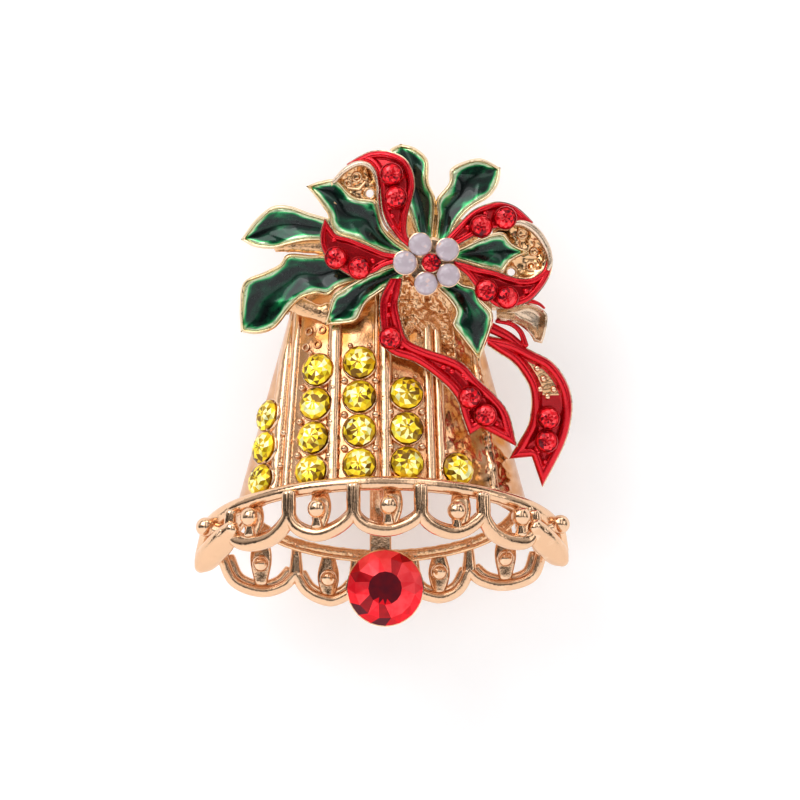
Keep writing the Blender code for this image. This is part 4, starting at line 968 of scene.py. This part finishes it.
def distance_to(rim, grid):
    """Distance of each grid point from an open line of points: the least over its stretches."""
    least = np.full(grid.shape[:2], np.inf)
    for near, far in zip(rim[:-1], rim[1:]):
        step = far - near
        length = max(float(step @ step), 1e-9)
        t = np.clip(((grid - near) @ step) / length, 0, 1)
        least = np.minimum(least, np.linalg.norm(grid - near - t[..., None] * step, axis=-1))
    return least


def outline_grid(left, right, along, across):
    """Grid between two edges, crowded towards the edges and the tip.

    Returns x, z, the share along, the lean from -1 at the left edge to 1 at the right one, and
    the distance to the outline.
    """
    share = np.sin(np.linspace(0, np.pi / 2, along)) ** 0.9
    first, second = through(left, 200), through(right, 200)
    at = np.linspace(0, 1, 200)
    a = np.stack([np.interp(share, at, first[:, k]) for k in (0, 1)], axis=-1)
    b = np.stack([np.interp(share, at, second[:, k]) for k in (0, 1)], axis=-1)
    lean = np.sin(np.linspace(-np.pi / 2, np.pi / 2, across))
    grid = a[:, None] + (b - a)[:, None] * ((lean + 1) / 2)[None, :, None]
    inner = distance_to(np.concatenate([first, second[::-1]]), grid)
    share, lean = np.broadcast_arrays(share[:, None], lean[None, :])
    return grid[..., 0], grid[..., 1], share, lean, inner


def smooth_step(value, low, high):
    """0 below low, 1 above high, and an even S between them."""
    t = np.clip((value - low) / (high - low), 0, 1)
    return t * t * (3 - 2 * t)


def enamelled(name, ramp, rough, coat=0.6, streak=0.18):
    """Translucent enamel on metal: a colour ramp on the fill's depth, clouded, under a gloss."""
    made, nodes, links, shader = new_finish(
        name, Metallic=0.80, Coat_Weight=coat, Coat_Roughness=0.03, Coat_IOR=1.45)
    depth = fitted(nodes, "Attribute", attribute_name="depth")
    skin = fitted(nodes, "Group", node_tree=cast_skin)
    for socket, value in (("Wave Size", ENAMEL_WAVE), ("Pit Size", ENAMEL_GRAIN), ("Polish", rough)):
        skin.inputs[socket].default_value = value
    shift = fitted(nodes, "Math", {1: streak}, operation="MULTIPLY_ADD")
    links.new(skin.outputs["Height"], shift.inputs[0])
    links.new(depth.outputs["Fac"], shift.inputs[2])
    tones = tone_ramp(nodes, ramp)
    links.new(shift.outputs["Value"], tones.inputs["Fac"])
    links.new(tones.outputs["Color"], shader.inputs["Base Color"])
    links.new(skin.outputs["Roughness"], shader.inputs["Roughness"])
    relief = fitted(nodes, "Bump", {"Strength": 0.10, "Distance": 0.00006})
    links.new(skin.outputs["Height"], relief.inputs["Height"])
    links.new(relief.outputs["Normal"], shader.inputs["Normal"])
    return made


green_enamel = enamelled("green_enamel", (
    (0.14, (0.003, 0.008, 0.007)), (0.38, (0.002, 0.035, 0.018)), (0.54, (0.003, 0.16, 0.05)),
    (0.63, (0.01, 0.34, 0.09)), (0.74, (0.16, 0.50, 0.21)), (0.88, (0.58, 0.70, 0.46)),
), 0.26)
leaf_gold = plated("leaf_gold", (0.93, 0.76, 0.52), (0.70, 0.50, 0.25), 0.10)

for node, (layer, left, right) in LEAVES.items():
    x, z, share, lean, inner = outline_grid(left, right, 84, 45)
    off_rib = np.abs(lean)
    curl = TIP_CURL * smooth_step(share, 0.55, 1.0) ** 2
    wave = EDGE_WAVE * np.sin(share * 9.0 + 1.3 * layer) * off_rib
    valley = VALLEY * (1 - smooth_step(off_rib, 0.0, 0.8)) * smooth_step(share, 0.0, 0.25)
    base = layer_y(x, z, layer) + valley * (1 - share * 0.6) + curl + wave
    rim = RIM_HEIGHT * np.exp(-(((inner - RIM_INSET) / RIM_HALF_WIDTH) ** 2))
    rim = rim - 0.10 * smooth_step(inner, 0.26, 0.42)
    edge_round = 0.14 * (1 - smooth_step(inner, 0.0, 0.12))
    front_y = base - rim + edge_round
    back_y = layer_y(x, z, layer) + LEAF_BACK + 0.3 * curl
    casting = walled(points_at(x, front_y, z), points_at(x, np.maximum(back_y, front_y + 0.3), z))
    build(f"{node}_casting", [casting], leaf_gold, (node,))
    # Side veins run from the midrib as ridges; the fill is pale over them and dark between.
    vein = np.abs(((share * VEINS + off_rib * 1.1) % 1.0) - 0.5) * 2
    ridge = VEIN_HEIGHT * smooth_step(vein, 0.65, 1.0) * smooth_step(off_rib, 0.1, 0.4)
    fill = base - 0.045 - ridge * 0.7 + 0.34 * (1 - smooth_step(inner, 0.18, 0.42))
    pale = smooth_step(off_rib + 0.24 * (vein - 0.5) + 0.22 * share, 0.42, 1.12)
    streaks = lumps(share * 5 - off_rib * 1.6 + 3 * layer, lean * 1.1, 0.42, 11 + len(left))
    cloud = 0.26 * streaks + 0.10 * lumps(x, z, 0.7, 21)
    depth = 0.08 + 0.46 * pale + 0.60 * (1 - smooth_step(inner, 0.26, 0.90)) + cloud
    enamel = walled(points_at(x, fill, z), points_at(x, np.maximum(fill, base) + 0.22, z))
    build(f"{node}_enamel", [enamel], green_enamel, (node,),
          {"depth": np.stack([depth, depth])})


# ---------------------------------------------------------------- webs behind the leaves
# Plain cast gold that ties the leaf roots to one another and to the top of the bell. It shows in
# the gaps between the leaves, ribbed where the wax was pressed.
WEBS = (
    ((-10.2, 6.9), (-7.6, 6.9), (-4.0, 6.6), (0.8, 6.0)),
    ((-10.0, 2.6), (-7.6, 1.0), (-5.4, 0.4), (-3.2, 0.8)),
    ((5.6, 5.6), (7.6, 5.2), (9.6, 4.4), (11.0, 3.6)),
)
WEB_HALF_WIDTHS = (0.75, 0.9, 0.8)
WEB_HALF_DEPTH, WEB_BEHIND = 0.36, 1.0
PLATE_RADIUS, PLATE_THICK, PLATE_BEHIND = 5.15, 0.6, 1.15
parts = []
for points, half in zip(WEBS, WEB_HALF_WIDTHS):
    x, z = through(points, 60).T
    ripple = 1 + 0.25 * lumps(x, z, 1.3, 51) + 0.08 * lumps(x, z, 0.5, 52)
    path = points_at(x, layer_y(x, z, 0) + WEB_BEHIND, z)
    parts.append(rod(path, half * ripple, WEB_HALF_DEPTH * ripple, around=20))
plate_y = float(layer_y(CROWN[0], CROWN[2], 0)) + PLATE_BEHIND
flat_radius = PLATE_RADIUS - 0.35
parts.append(turned((
    (0, plate_y), (flat_radius, plate_y + 0.05), (PLATE_RADIUS, plate_y + PLATE_THICK / 2),
    (flat_radius, plate_y + 0.55), (0, plate_y + PLATE_THICK),
), (CROWN[0], 0, CROWN[2]), 72))
build("leaf_webs", parts, hammered_gold)



# ---------------------------------------------------------------- ribbon bow
# The bow is cast as bands with rounded rims and a sunken channel, and enamelled red; a gold
# edge is left bare round each band. Two loops show their gold insides, which hold empty seats
# and a hole, behind a thick rim where the ribbon turns over.
RED_STONE_RADIUS = 0.98
EDGE = 0.09  # bare gold left showing beside the enamel
TAIL_FALL = 0.05
BAND_THICK, FACE_SET_BACK, CHANNEL_SUNK = 0.75, 0.22, 0.10
red_enamel = enamelled("red_enamel", (
    (0.05, (0.12, 0.000, 0.002)), (0.35, (0.40, 0.000, 0.005)), (0.62, (0.66, 0.002, 0.011)),
    (0.82, (0.80, 0.005, 0.018)), (1.0, (0.95, 0.03, 0.05)),
), 0.20, coat=0.45, streak=0.12)
lining_gold = plated(
    "lining_gold", (0.92, 0.61, 0.36), (0.62, 0.27, 0.07), 0.10, 0.0001, 1500.0, 4000.0)
taupe_gold = plated("taupe_gold", (0.80, 0.62, 0.47), (0.60, 0.40, 0.25), 0.22)


def notched(x, z, share, lean, left, right, notch):
    """Draws a band's end in to a swallowtail: its last stretch slides to a line bent at the notch."""
    first, last, notch = np.array(left[-1]), np.array(right[-1]), np.array(notch)
    at = (notch - first) @ (last - first) / ((last - first) @ (last - first))
    across = (lean + 1) / 2
    pull = smooth_step(share, 0.72, 1.0)
    bent = [np.interp(across, (0, at, 1), ends) for ends in zip(first, notch, last)]
    straight = first + (last - first) * across[..., None]
    return x + pull * (bent[0] - straight[..., 0]), z + pull * (bent[1] - straight[..., 1])


def band(name, node, left, right, layer, fall=LAYER_FALL, notch=None, along=150, across=65,
         rim=0.62, deep=0.30, bow=None, gilt=None):
    """A ribbon band: rounded rims along its edges, a sunken channel, and a gold edge behind.

    bow(share) moves the band's face back; gilt(z) is 1 where the channel has no enamel.
    """
    share, lean = np.broadcast_arrays(
        np.linspace(0, 1, along)[:, None], np.sin(np.linspace(-np.pi / 2, np.pi / 2, across)))
    mix = ((lean + 1) / 2)[..., None]
    flat = through(left, along)[:, None] * (1 - mix) + through(right, along)[:, None] * mix
    x, z = flat[..., 0], flat[..., 1]
    if notch is not None:
        x, z = notched(x, z, share, lean, left, right, notch)
    grid = np.stack([x, z], axis=-1)
    inner = distance_to(np.concatenate([grid[:, 0], grid[-1, 1:-1], grid[::-1, -1]]), grid)
    level = layer_y(x, z, layer, fall)
    if bow is not None:
        level = level + bow(share)
    half = rim / 2
    hump = np.sqrt(np.clip(1 - ((np.minimum(inner, rim) - half) / half) ** 2, 0, 1))
    channel = smooth_step(inner, rim * 0.8, rim * 1.25)
    face = level + FACE_SET_BACK - deep * hump + CHANNEL_SUNK * channel
    front, back = points_at(x, face, z), points_at(x, level + BAND_THICK - 0.15, z)
    tone = 0.44 + 0.20 * hump - 0.04 * channel
    build(name, [walled(front, back)], red_enamel, (node,),
          {"depth": np.stack([tone, tone * 0.6])})
    width = np.maximum(np.linalg.norm(front[:, -1] - front[:, 0], axis=-1), 0.5)
    centre = (front[:, :1] + front[:, -1:]) / 2
    wide = centre + (front - centre) * (1 + 2 * EDGE / width)[:, None, None]
    under = points_at(wide[..., 0], level + 0.42, wide[..., 2])
    behind = points_at(wide[..., 0], level + BAND_THICK, wide[..., 2])
    build(f"{name}_casting", [walled(under, behind)], leaf_gold, (node,))
    if gilt is not None:
        floor = points_at(x, face - 0.02 + 0.5 * (1 - gilt(z)) + 0.5 * (1 - channel), z)
        build(f"{name}_bare_channel", [walled(floor, floor + [0, 0.3, 0])], hammered_gold)


band("ribbon_left_band", "ribbon_left", (
    (2.2, 6.0), (0.4, 6.2), (-0.7, 6.6), (-1.9, 7.1), (-3.2, 7.6), (-4.3, 7.9), (-4.9, 8.6), (-5.5, 9.5),
), (
    (2.2, 5.3), (0.4, 4.9), (-0.9, 4.2), (-2.6, 3.9), (-4.3, 4.8), (-5.5, 6.0), (-5.9, 7.7), (-5.5, 9.5),
), 2, rim=0.5)
band("ribbon_tail_band", "ribbon_tail", (
    (0.8, 3.7), (0.1, 2.4), (-0.2, 1.2), (-0.1, -0.8), (0.2, -2.6), (1.1, -3.6),
    (3.1, -4.3), (4.8, -5.4), (6.4, -6.8), (7.3, -8.1), (7.8, -9.7), (8.4, -11.3),
), (
    (1.9, 3.7), (1.7, 2.4), (1.5, 1.2), (1.8, -0.4), (2.4, -2.1), (4.1, -3.0),
    (6.4, -3.8), (7.8, -4.5), (9.1, -5.9), (10.9, -7.6), (12.1, -9.3), (12.9, -12.4),
), 2, TAIL_FALL, (9.5, -10.6), along=220, rim=0.85, deep=0.40)
band("ribbon_right_tail_band", "ribbon_right_tail", (
    (10.1, -2.6), (11.1, -3.3), (12.6, -4.3), (13.7, -5.7), (14.3, -7.0), (14.4, -8.6),
    (14.1, -10.3), (13.3, -11.8), (12.2, -13.6),
), (
    (10.1, -1.8), (12.4, -2.3), (14.5, -3.3), (16.3, -4.3), (17.6, -6.0), (18.2, -7.9),
    (18.1, -10.0), (17.4, -12.4), (15.4, -16.3),
), 0, notch=(14.4, -13.4), along=200, rim=0.88, deep=0.42,
    gilt=lambda z: smooth_step(z, -8.0, -7.4))
band("ribbon_upper_band", "ribbon_upper_left", (
    (2.6, 6.6), (1.5, 7.6), (0.6, 8.9), (0.1, 10.1), (-0.1, 11.6), (-0.2, 12.8), (-0.5, 13.9),
    (-1.1, 14.7), (-1.9, 14.95), (-2.7, 14.8), (-3.3, 14.5),
), (
    (3.2, 6.8), (2.4, 7.9), (2.4, 9.5), (2.7, 10.8), (3.1, 12.6), (2.8, 14.2), (2.0, 15.3),
    (0.5, 15.9), (-1.0, 15.9), (-2.2, 15.4), (-3.4, 14.7),
), 2, along=180, rim=0.66, bow=lambda share: 0.9 * smooth_step(share, 0.55, 1.0))
band("ribbon_right_upper_band", "ribbon_right", (
    (5.7, 7.1), (6.9, 8.4), (8.6, 10.1), (10.1, 10.8), (11.4, 11.0), (12.9, 10.5), (14.5, 9.1),
), (
    (6.2, 6.4), (7.6, 7.1), (9.2, 8.0), (10.4, 8.4), (11.5, 8.7), (12.7, 9.2), (14.4, 9.0),
), 2, along=80, rim=0.55, bow=lambda share: 0.7 * smooth_step(share, 0.5, 1.0))
band("ribbon_right_lower_band", "ribbon_right", (
    (16.35, 5.6), (16.1, 4.2), (15.3, 2.8), (14.0, 1.5), (12.3, 1.0), (10.8, 1.1), (9.0, 2.9),
    (8.0, 4.1), (6.8, 4.9),
), (
    (15.8, 5.5), (15.4, 4.5), (14.4, 3.8), (13.2, 3.7), (12.0, 4.0), (10.9, 4.4), (9.3, 4.75),
    (8.2, 5.1), (6.9, 5.4),
), 2, along=100, rim=0.6, bow=lambda share: 0.9 * (1 - smooth_step(share, 0.0, 0.4)))


def bored(name, parts, node, hole_x, hole_z, radius):
    """A gold plate with a round hole cut through it along y; the cutter is removed again."""
    piece = build(name, parts, lining_gold, (node,))
    drill_path = [(hole_x, y, hole_z) for y in (-14, -8, -2)]
    drill = build(f"{name}_drill", [rod(drill_path, radius, radius, up=(0, 0, 1), around=20)],
                  lining_gold)
    cut = piece.modifiers.new("hole", "BOOLEAN")
    cut.object = drill
    graph = bpy.context.evaluated_depsgraph_get()
    holed = bpy.data.meshes.new_from_object(piece.evaluated_get(graph))
    piece.modifiers.clear()
    piece.data = holed
    bpy.data.objects.remove(drill)


def seat_ring(x, y, z, radius=0.36, wide=0.12, deep=0.12, steps=25):
    """A seat: a ring of wire that faces the front, round (x, z) at the depth y."""
    turn = np.linspace(0, 2 * np.pi, steps)
    return rod(points_at(x + radius * np.cos(turn), y, z + radius * np.sin(turn)), wide, deep, around=8)


def lining(top, bottom, depth):
    """The hollow inside of a loop: a dished plate with soft lumps, between two edges."""
    x, z, _, _, inner = outline_grid(top, bottom, 70, 50)
    uneven = 0.22 * lumps(x, z, 0.8, 31) + 0.08 * lumps(x, z, 0.35, 32)
    y = depth + 0.5 * smooth_step(inner, 0.0, 1.0) + uneven * smooth_step(inner, 0.1, 0.5)
    return walled(points_at(x, y, z), points_at(x, y + 0.35, z))


def loop_rim(points, y_from, y_to, radii):
    """The turned-over edge of a loop: a rounded bar through (x, z) points, moving in depth."""
    share = np.linspace(0, 1, 70)
    path = flat_path(points, 70, np.linspace(y_from, y_to, 70))
    return rod(path, np.interp(share, np.linspace(0, 1, len(radii)), radii), 0.45)


upper_y = float(layer_y(-2.5, 12.5, 1)) + 0.35
bored("ribbon_upper_lining", [lining(
    ((-4.9, 13.0), (-3.8, 14.1), (-2.4, 14.9), (-1.2, 14.8), (-0.4, 13.8)),
    ((-4.6, 10.9), (-3.6, 10.6), (-2.4, 10.4), (-1.2, 10.3), (0.0, 10.2)), upper_y,
)], "ribbon_upper_left", -1.15, 11.9, 0.38)
crease = [(-3.3, upper_y + 0.2, 12.4), (-2.2, upper_y, 12.3), (-1.6, upper_y, 13.0)]
build("ribbon_upper_seats", [
    seat_ring(-2.4, upper_y + 0.25, 13.5, 0.42), seat_ring(-3.3, upper_y + 0.2, 12.9, 0.3),
    seat_ring(-1.2, upper_y + 0.3, 11.9, 0.52, 0.14, 0.14), rod(crease, 0.14, 0.14, up=(0, 0, 1)),
], lining_gold)
build("ribbon_upper_rim", [loop_rim(
    ((-4.6, 13.0), (-3.6, 14.05), (-2.4, 14.7), (-1.4, 14.6), (-0.7, 13.9), (-0.42, 12.8),
     (-0.35, 11.6), (-0.2, 10.3), (0.3, 8.9), (1.3, 7.6)),
    float(layer_y(-4.5, 13, 1)), float(layer_y(1.3, 7.6, 2)) + 0.15,
    (0.26, 0.30, 0.30, 0.24, 0.16, 0.12, 0.12),
)], taupe_gold, ("ribbon_upper_left",))
right_y = float(layer_y(13.5, 6.3, 0)) - 0.1
bored("ribbon_right_lining", [lining(
    ((10.6, 8.6), (12.3, 9.3), (13.9, 9.1), (15.2, 8.0), (16.0, 6.4)),
    ((10.6, 3.7), (12.4, 3.6), (14.2, 3.7), (15.4, 4.5), (16.0, 5.6)), right_y,
)], "ribbon_right", 12.4, 4.35, 0.36)
build("ribbon_right_seats", [
    seat_ring(13.45, right_y + 0.1, 8.0, 0.42), seat_ring(14.3, right_y + 0.3, 4.9, 0.42),
    seat_ring(14.6, right_y + 0.35, 6.3, 0.30), seat_ring(12.4, right_y + 0.1, 4.35, 0.5),
], lining_gold)
build("ribbon_right_rim", [loop_rim(
    ((11.9, 8.8), (13.2, 9.05), (14.3, 8.6), (15.2, 7.7), (15.9, 6.4), (16.1, 5.3), (15.9, 4.6)),
    float(layer_y(12, 9, 1)) - 0.2, float(layer_y(16, 5, 1)) - 0.2,
    (0.20, 0.34, 0.40, 0.40, 0.38, 0.3, 0.2),
)], taupe_gold, ("ribbon_right",))

# Behind the right loop a short end of ribbon folds over, bare gold but for a red upper edge,
# and two thin red straps join it to the right tail.
x, z, share, lean, inner = outline_grid((
    (11.0, 1.0), (12.7, 1.3), (14.2, 1.4), (15.3, 0.9), (15.9, 0.1), (15.7, -1.5), (15.4, -2.5),
), (
    (11.0, -0.2), (12.3, -0.4), (13.1, -0.7), (13.7, -1.1), (14.1, -1.5), (14.4, -1.9), (14.6, -2.3),
), 80, 41)
fold_wave = 0.35 * np.sin(3.2 * share * np.pi) * np.abs(lean)
fold_y = layer_y(x, z, -1) - fold_wave + 0.5 * smooth_step(inner, 0.1, 0.9)
fold_rim = 0.22 * np.exp(-(((inner - 0.2) / 0.14) ** 2))
fold = walled(points_at(x, fold_y - fold_rim - 0.3, z), points_at(x, fold_y + 0.35, z))
build("ribbon_fold_casting", [fold], taupe_gold, ("ribbon_fold",))
fold_level = float(layer_y(13.5, 0.5, -1))
red_edge = flat_path(((12.9, 1.5), (14.0, 1.6), (15.0, 1.35), (15.6, 0.9)), 24, fold_level - 0.35)
parts = [rod(red_edge, np.linspace(0.34, 0.12, 24), 0.3)]
for points, sizes in (
    (((9.8, -0.7), (10.9, -1.2), (12.2, -1.9), (13.3, -2.8)), (0.55, 0.45)),
    (((11.0, -0.35), (12.4, -0.65), (13.3, -1.4), (13.8, -2.7)), (0.20, 0.30)),
):
    parts.append(rod(flat_path(points, 30, fold_level - 0.5), np.linspace(*sizes, 30), 0.3))
build("ribbon_fold_red", parts, red_enamel, ("ribbon_fold",), {"depth": 0.55})

# Small beads stand in the channels, between the stones.
RIBBON_BEAD_SIZE, GOLD_BEAD_SIZE = 0.27, 0.33
LOOP_BEADS = (
    (1.9, 13.5), (0.7, 10.5), (1.0, 9.7), (1.1, 8.6), (13.8, 2.5), (8.9, 8.2), (9.9, 9.9),
    (8.2, 8.6),
)
TAIL_BEADS = (
    (5.9, -4.8), (6.7, -5.2), (7.8, -5.6), (8.1, -5.9), (9.8, -7.3), (8.3, -8.8), (8.6, -9.9),
    (11.0, -10.2), (1.0, 2.4), (0.7, 1.2), (0.6, 0.2), (1.9, -2.8),
)
RIGHT_TAIL_BEADS = ((15.0, -12.9), (16.0, -12.9), (15.7, -13.9), (14.9, -12.6))
LEFT_BEADS = ((-4.6, 7.4), (-0.9, 5.4))
GOLD_BEADS = ((14.9, -4.9), (15.5, -5.9), (15.2, -6.9), (16.5, -6.9), (15.9, -7.6))
parts = []
for spots, layer, fall in (
    (LOOP_BEADS, 2, LAYER_FALL), (TAIL_BEADS, 2, TAIL_FALL), (RIGHT_TAIL_BEADS, 0, LAYER_FALL),
    (LEFT_BEADS, 2, LAYER_FALL),
):
    for x, z in spots:
        bead_y = float(layer_y(x, z, layer, fall)) + 0.12
        parts.append(ball((x, bead_y, z), RIBBON_BEAD_SIZE, 12, 7))
build("ribbon_beads", parts, red_enamel, (), {"depth": 0.8})
parts = [ball((x, float(layer_y(x, z, 0)) + 0.1, z), GOLD_BEAD_SIZE, 14, 8) for x, z in GOLD_BEADS]
build("ribbon_gold_beads", parts, rose_gold)

# The small red crystals sit in seats that are enamelled with the band.
RED_STONE_COUNT, RED_STONE_HEIGHT = 13, 0.75
RED_SEAT_RADIUS, RED_SEAT_SUNK = 1.03, 0.18
seats = []
for number in range(1, RED_STONE_COUNT + 1):
    node = f"red_stone_{number:02d}"
    x, y, z = centre_of(node)
    set_stone(node, f"red_crystal_{number:02d}", RED_STONE_RADIUS, RED_STONE_HEIGHT, (0, -1, 0),
              red_crystal, "red_crystal", rng, 3.0 * rng.random(), sides=6, star=0.2, dark=0.24)
    seats.append(seat_ring(x, y + RED_SEAT_SUNK, z, RED_SEAT_RADIUS, 0.11, 0.24, 33))
build("red_stone_seats", seats, red_enamel, (), {"depth": 0.35})


# ---------------------------------------------------------------- berry cluster
# Five milky opals round one red crystal, each in a plain cup on the hub. The hub is the rough
# middle of the casting: a boss under the cups and a ruffled web that runs down onto the bell.
OPAL_DOME, OPAL_GIRDLE = 0.55, 0.75
OPAL_FIRE_SIZE, OPAL_CLOUD_SIZE = 3200.0, 800.0
OPAL_TONES = ((0.25, (0.50, 0.42, 0.46)), (0.45, (0.60, 0.53, 0.57)), (0.62, (0.84, 0.52, 0.40)))


def opal_stone(radius, height, around=48, up=12):
    """A straight girdle under a low dome: a flattened quarter cosine, with faint facets."""
    share = np.linspace(0, 1, up)[:, None]
    angle = np.linspace(0, 2 * np.pi, around, endpoint=False)
    size = radius * np.cos(share * np.pi / 2) ** 0.55
    size[-1] = 0
    size = size * (1 - 0.012 * np.abs(np.sin(4 * angle)))
    level = height + OPAL_DOME * np.sin(share * np.pi / 2) ** 1.2
    dome = points_at(size * np.cos(angle), size * np.sin(angle), level)
    girdle = points_at(radius * np.cos(angle), radius * np.sin(angle), 0.0)
    grid = np.concatenate([np.zeros((1, around, 3)), girdle[None], dome])
    return grid.reshape(-1, 3), quads(len(grid), around, wrap=True)


white_opal, nodes, links, milk = new_finish(
    "white_opal", Roughness=0.28, Subsurface_Weight=0.35,
    Subsurface_Radius=(0.0009, 0.0006, 0.0007), Subsurface_Scale=1.0,
    Coat_Weight=0.6, Coat_Roughness=0.08)
where = fitted(nodes, "TexCoord")
fire = fitted(nodes, "TexVoronoi", {"Scale": OPAL_FIRE_SIZE})
cloud = fitted(nodes, "TexNoise", {"Scale": OPAL_CLOUD_SIZE})
links.new(where.outputs["Object"], fire.inputs["Vector"])
links.new(where.outputs["Object"], cloud.inputs["Vector"])
spark = fitted(nodes, "Math", operation="MULTIPLY")
links.new(fire.outputs["Color"], spark.inputs[0])
links.new(cloud.outputs["Fac"], spark.inputs[1])
tones = tone_ramp(nodes, OPAL_TONES)
links.new(spark.outputs["Value"], tones.inputs["Fac"])
links.new(tones.outputs["Color"], milk.inputs["Base Color"])

cups = []
for number in range(1, 6):
    node = f"opal_{number}"
    low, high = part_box(node)
    radius = float(high[0] - low[0]) / MM / 2
    spot = centre_of(node)
    back_y = high[1] / MM
    points, faces = opal_stone(radius, OPAL_GIRDLE)
    upright = points_at(points[:, 0] + spot[0], back_y - points[:, 2], points[:, 1] + spot[2])
    build(f"opal_{number}_dome", [(upright, faces)], white_opal, (node,))
    cups.append(turned((
        (0, back_y + 0.5), (radius * 0.8, back_y + 0.4), (radius * 1.02, back_y + 0.05),
        (radius * 1.05, back_y - 0.35), (radius * 0.99, back_y - 0.38),
        (radius * 0.97, back_y - 0.02), (0, back_y - 0.02),
    ), spot, 40))
set_stone("berry_red", "berry_crystal", 0.9, 0.95, (0, -1, 0), red_crystal, "red_crystal", rng, 0.3)
back_y = float(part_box("berry_red")[1][1]) / MM
cups.append(turned((
    (0, back_y + 0.4), (0.8, back_y + 0.3), (0.97, back_y - 0.4), (0.9, back_y - 0.42),
    (0.86, back_y - 0.02), (0, back_y - 0.02),
), CROWN, 32))
hub_front_y = float(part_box("berry_setting")[0][1]) / MM
boss = turned((
    (0, -7.5), (1.6, -7.6), (2.0, -8.2), (2.3, hub_front_y + 1.9), (2.5, hub_front_y + 1.2),
    (2.2, hub_front_y + 0.8), (0, hub_front_y + 0.7),
), CROWN, 60)
foot = rod(through([(3.9, -8.1, 4.6), (3.6, -7.2, 4.3), (3.2, -6.0, 3.6)], 12), 0.7, 0.7, up=(1, 0, 0))
build("berry_cups", cups + [boss, foot], rose_gold, ("berry_setting",))

x, z, _, lean, inner = outline_grid(
    ((2.2, 4.6), (1.7, 3.0), (1.5, 1.0), (1.7, -0.6), (2.5, -2.3), (4.4, -3.3)),
    ((4.6, 4.6), (5.2, 3.3), (5.6, 1.8), (6.4, 0.4), (6.9, -1.4), (7.2, -4.0)), 130, 70)
front_y = np.interp(z, (-4.0, -1.5, 1.5, 4.6), (-7.1, -7.3, -8.6, -9.9))
trough = np.exp(-(((lean - 0.15) / 0.35) ** 2)) * smooth_step(-z, -2.0, 0.5)
bumps = lumps(x, z, 0.8, 41) + 0.7 * lumps(x, z, 0.36, 42) + 0.3 * lumps(x, z, 0.18, 43)
bumps = 0.30 * bumps * smooth_step(inner, 0.0, 0.3) * (1 - 0.75 * trough)
ruffle_y = front_y + 0.7 * trough - bumps - 0.25 * smooth_step(0.5 - inner, 0, 0.5)
build("hub_ruffle", [walled(points_at(x, ruffle_y, z), points_at(x, ruffle_y + 0.7, z))],
      hammered_gold)


# ---------------------------------------------------------------- pin and catch
# The back carries a bar with a hinge block at one end and a C-shaped catch at the other. The
# stem of spring wire turns on a rivet, and a slotted rotor locks its point in the catch.
pin_gold = plated(
    "pin_gold", (0.88, 0.66, 0.48), (0.62, 0.38, 0.2), 0.2, 0.00006, 700.0, 6000.0)
pin_steel = plated(
    "pin_steel", (0.80, 0.77, 0.74), (0.5, 0.47, 0.44), 0.16, 0.00005, 700.0, 6000.0)
for node, metal in (
    ("pin_bar", pin_gold), ("hinge_rivet", pin_gold), ("catch", pin_gold),
    ("catch_rotor", pin_gold), ("pin_stem", pin_steel),
):
    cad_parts[node].data.materials.clear()
    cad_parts[node].data.materials.append(metal)
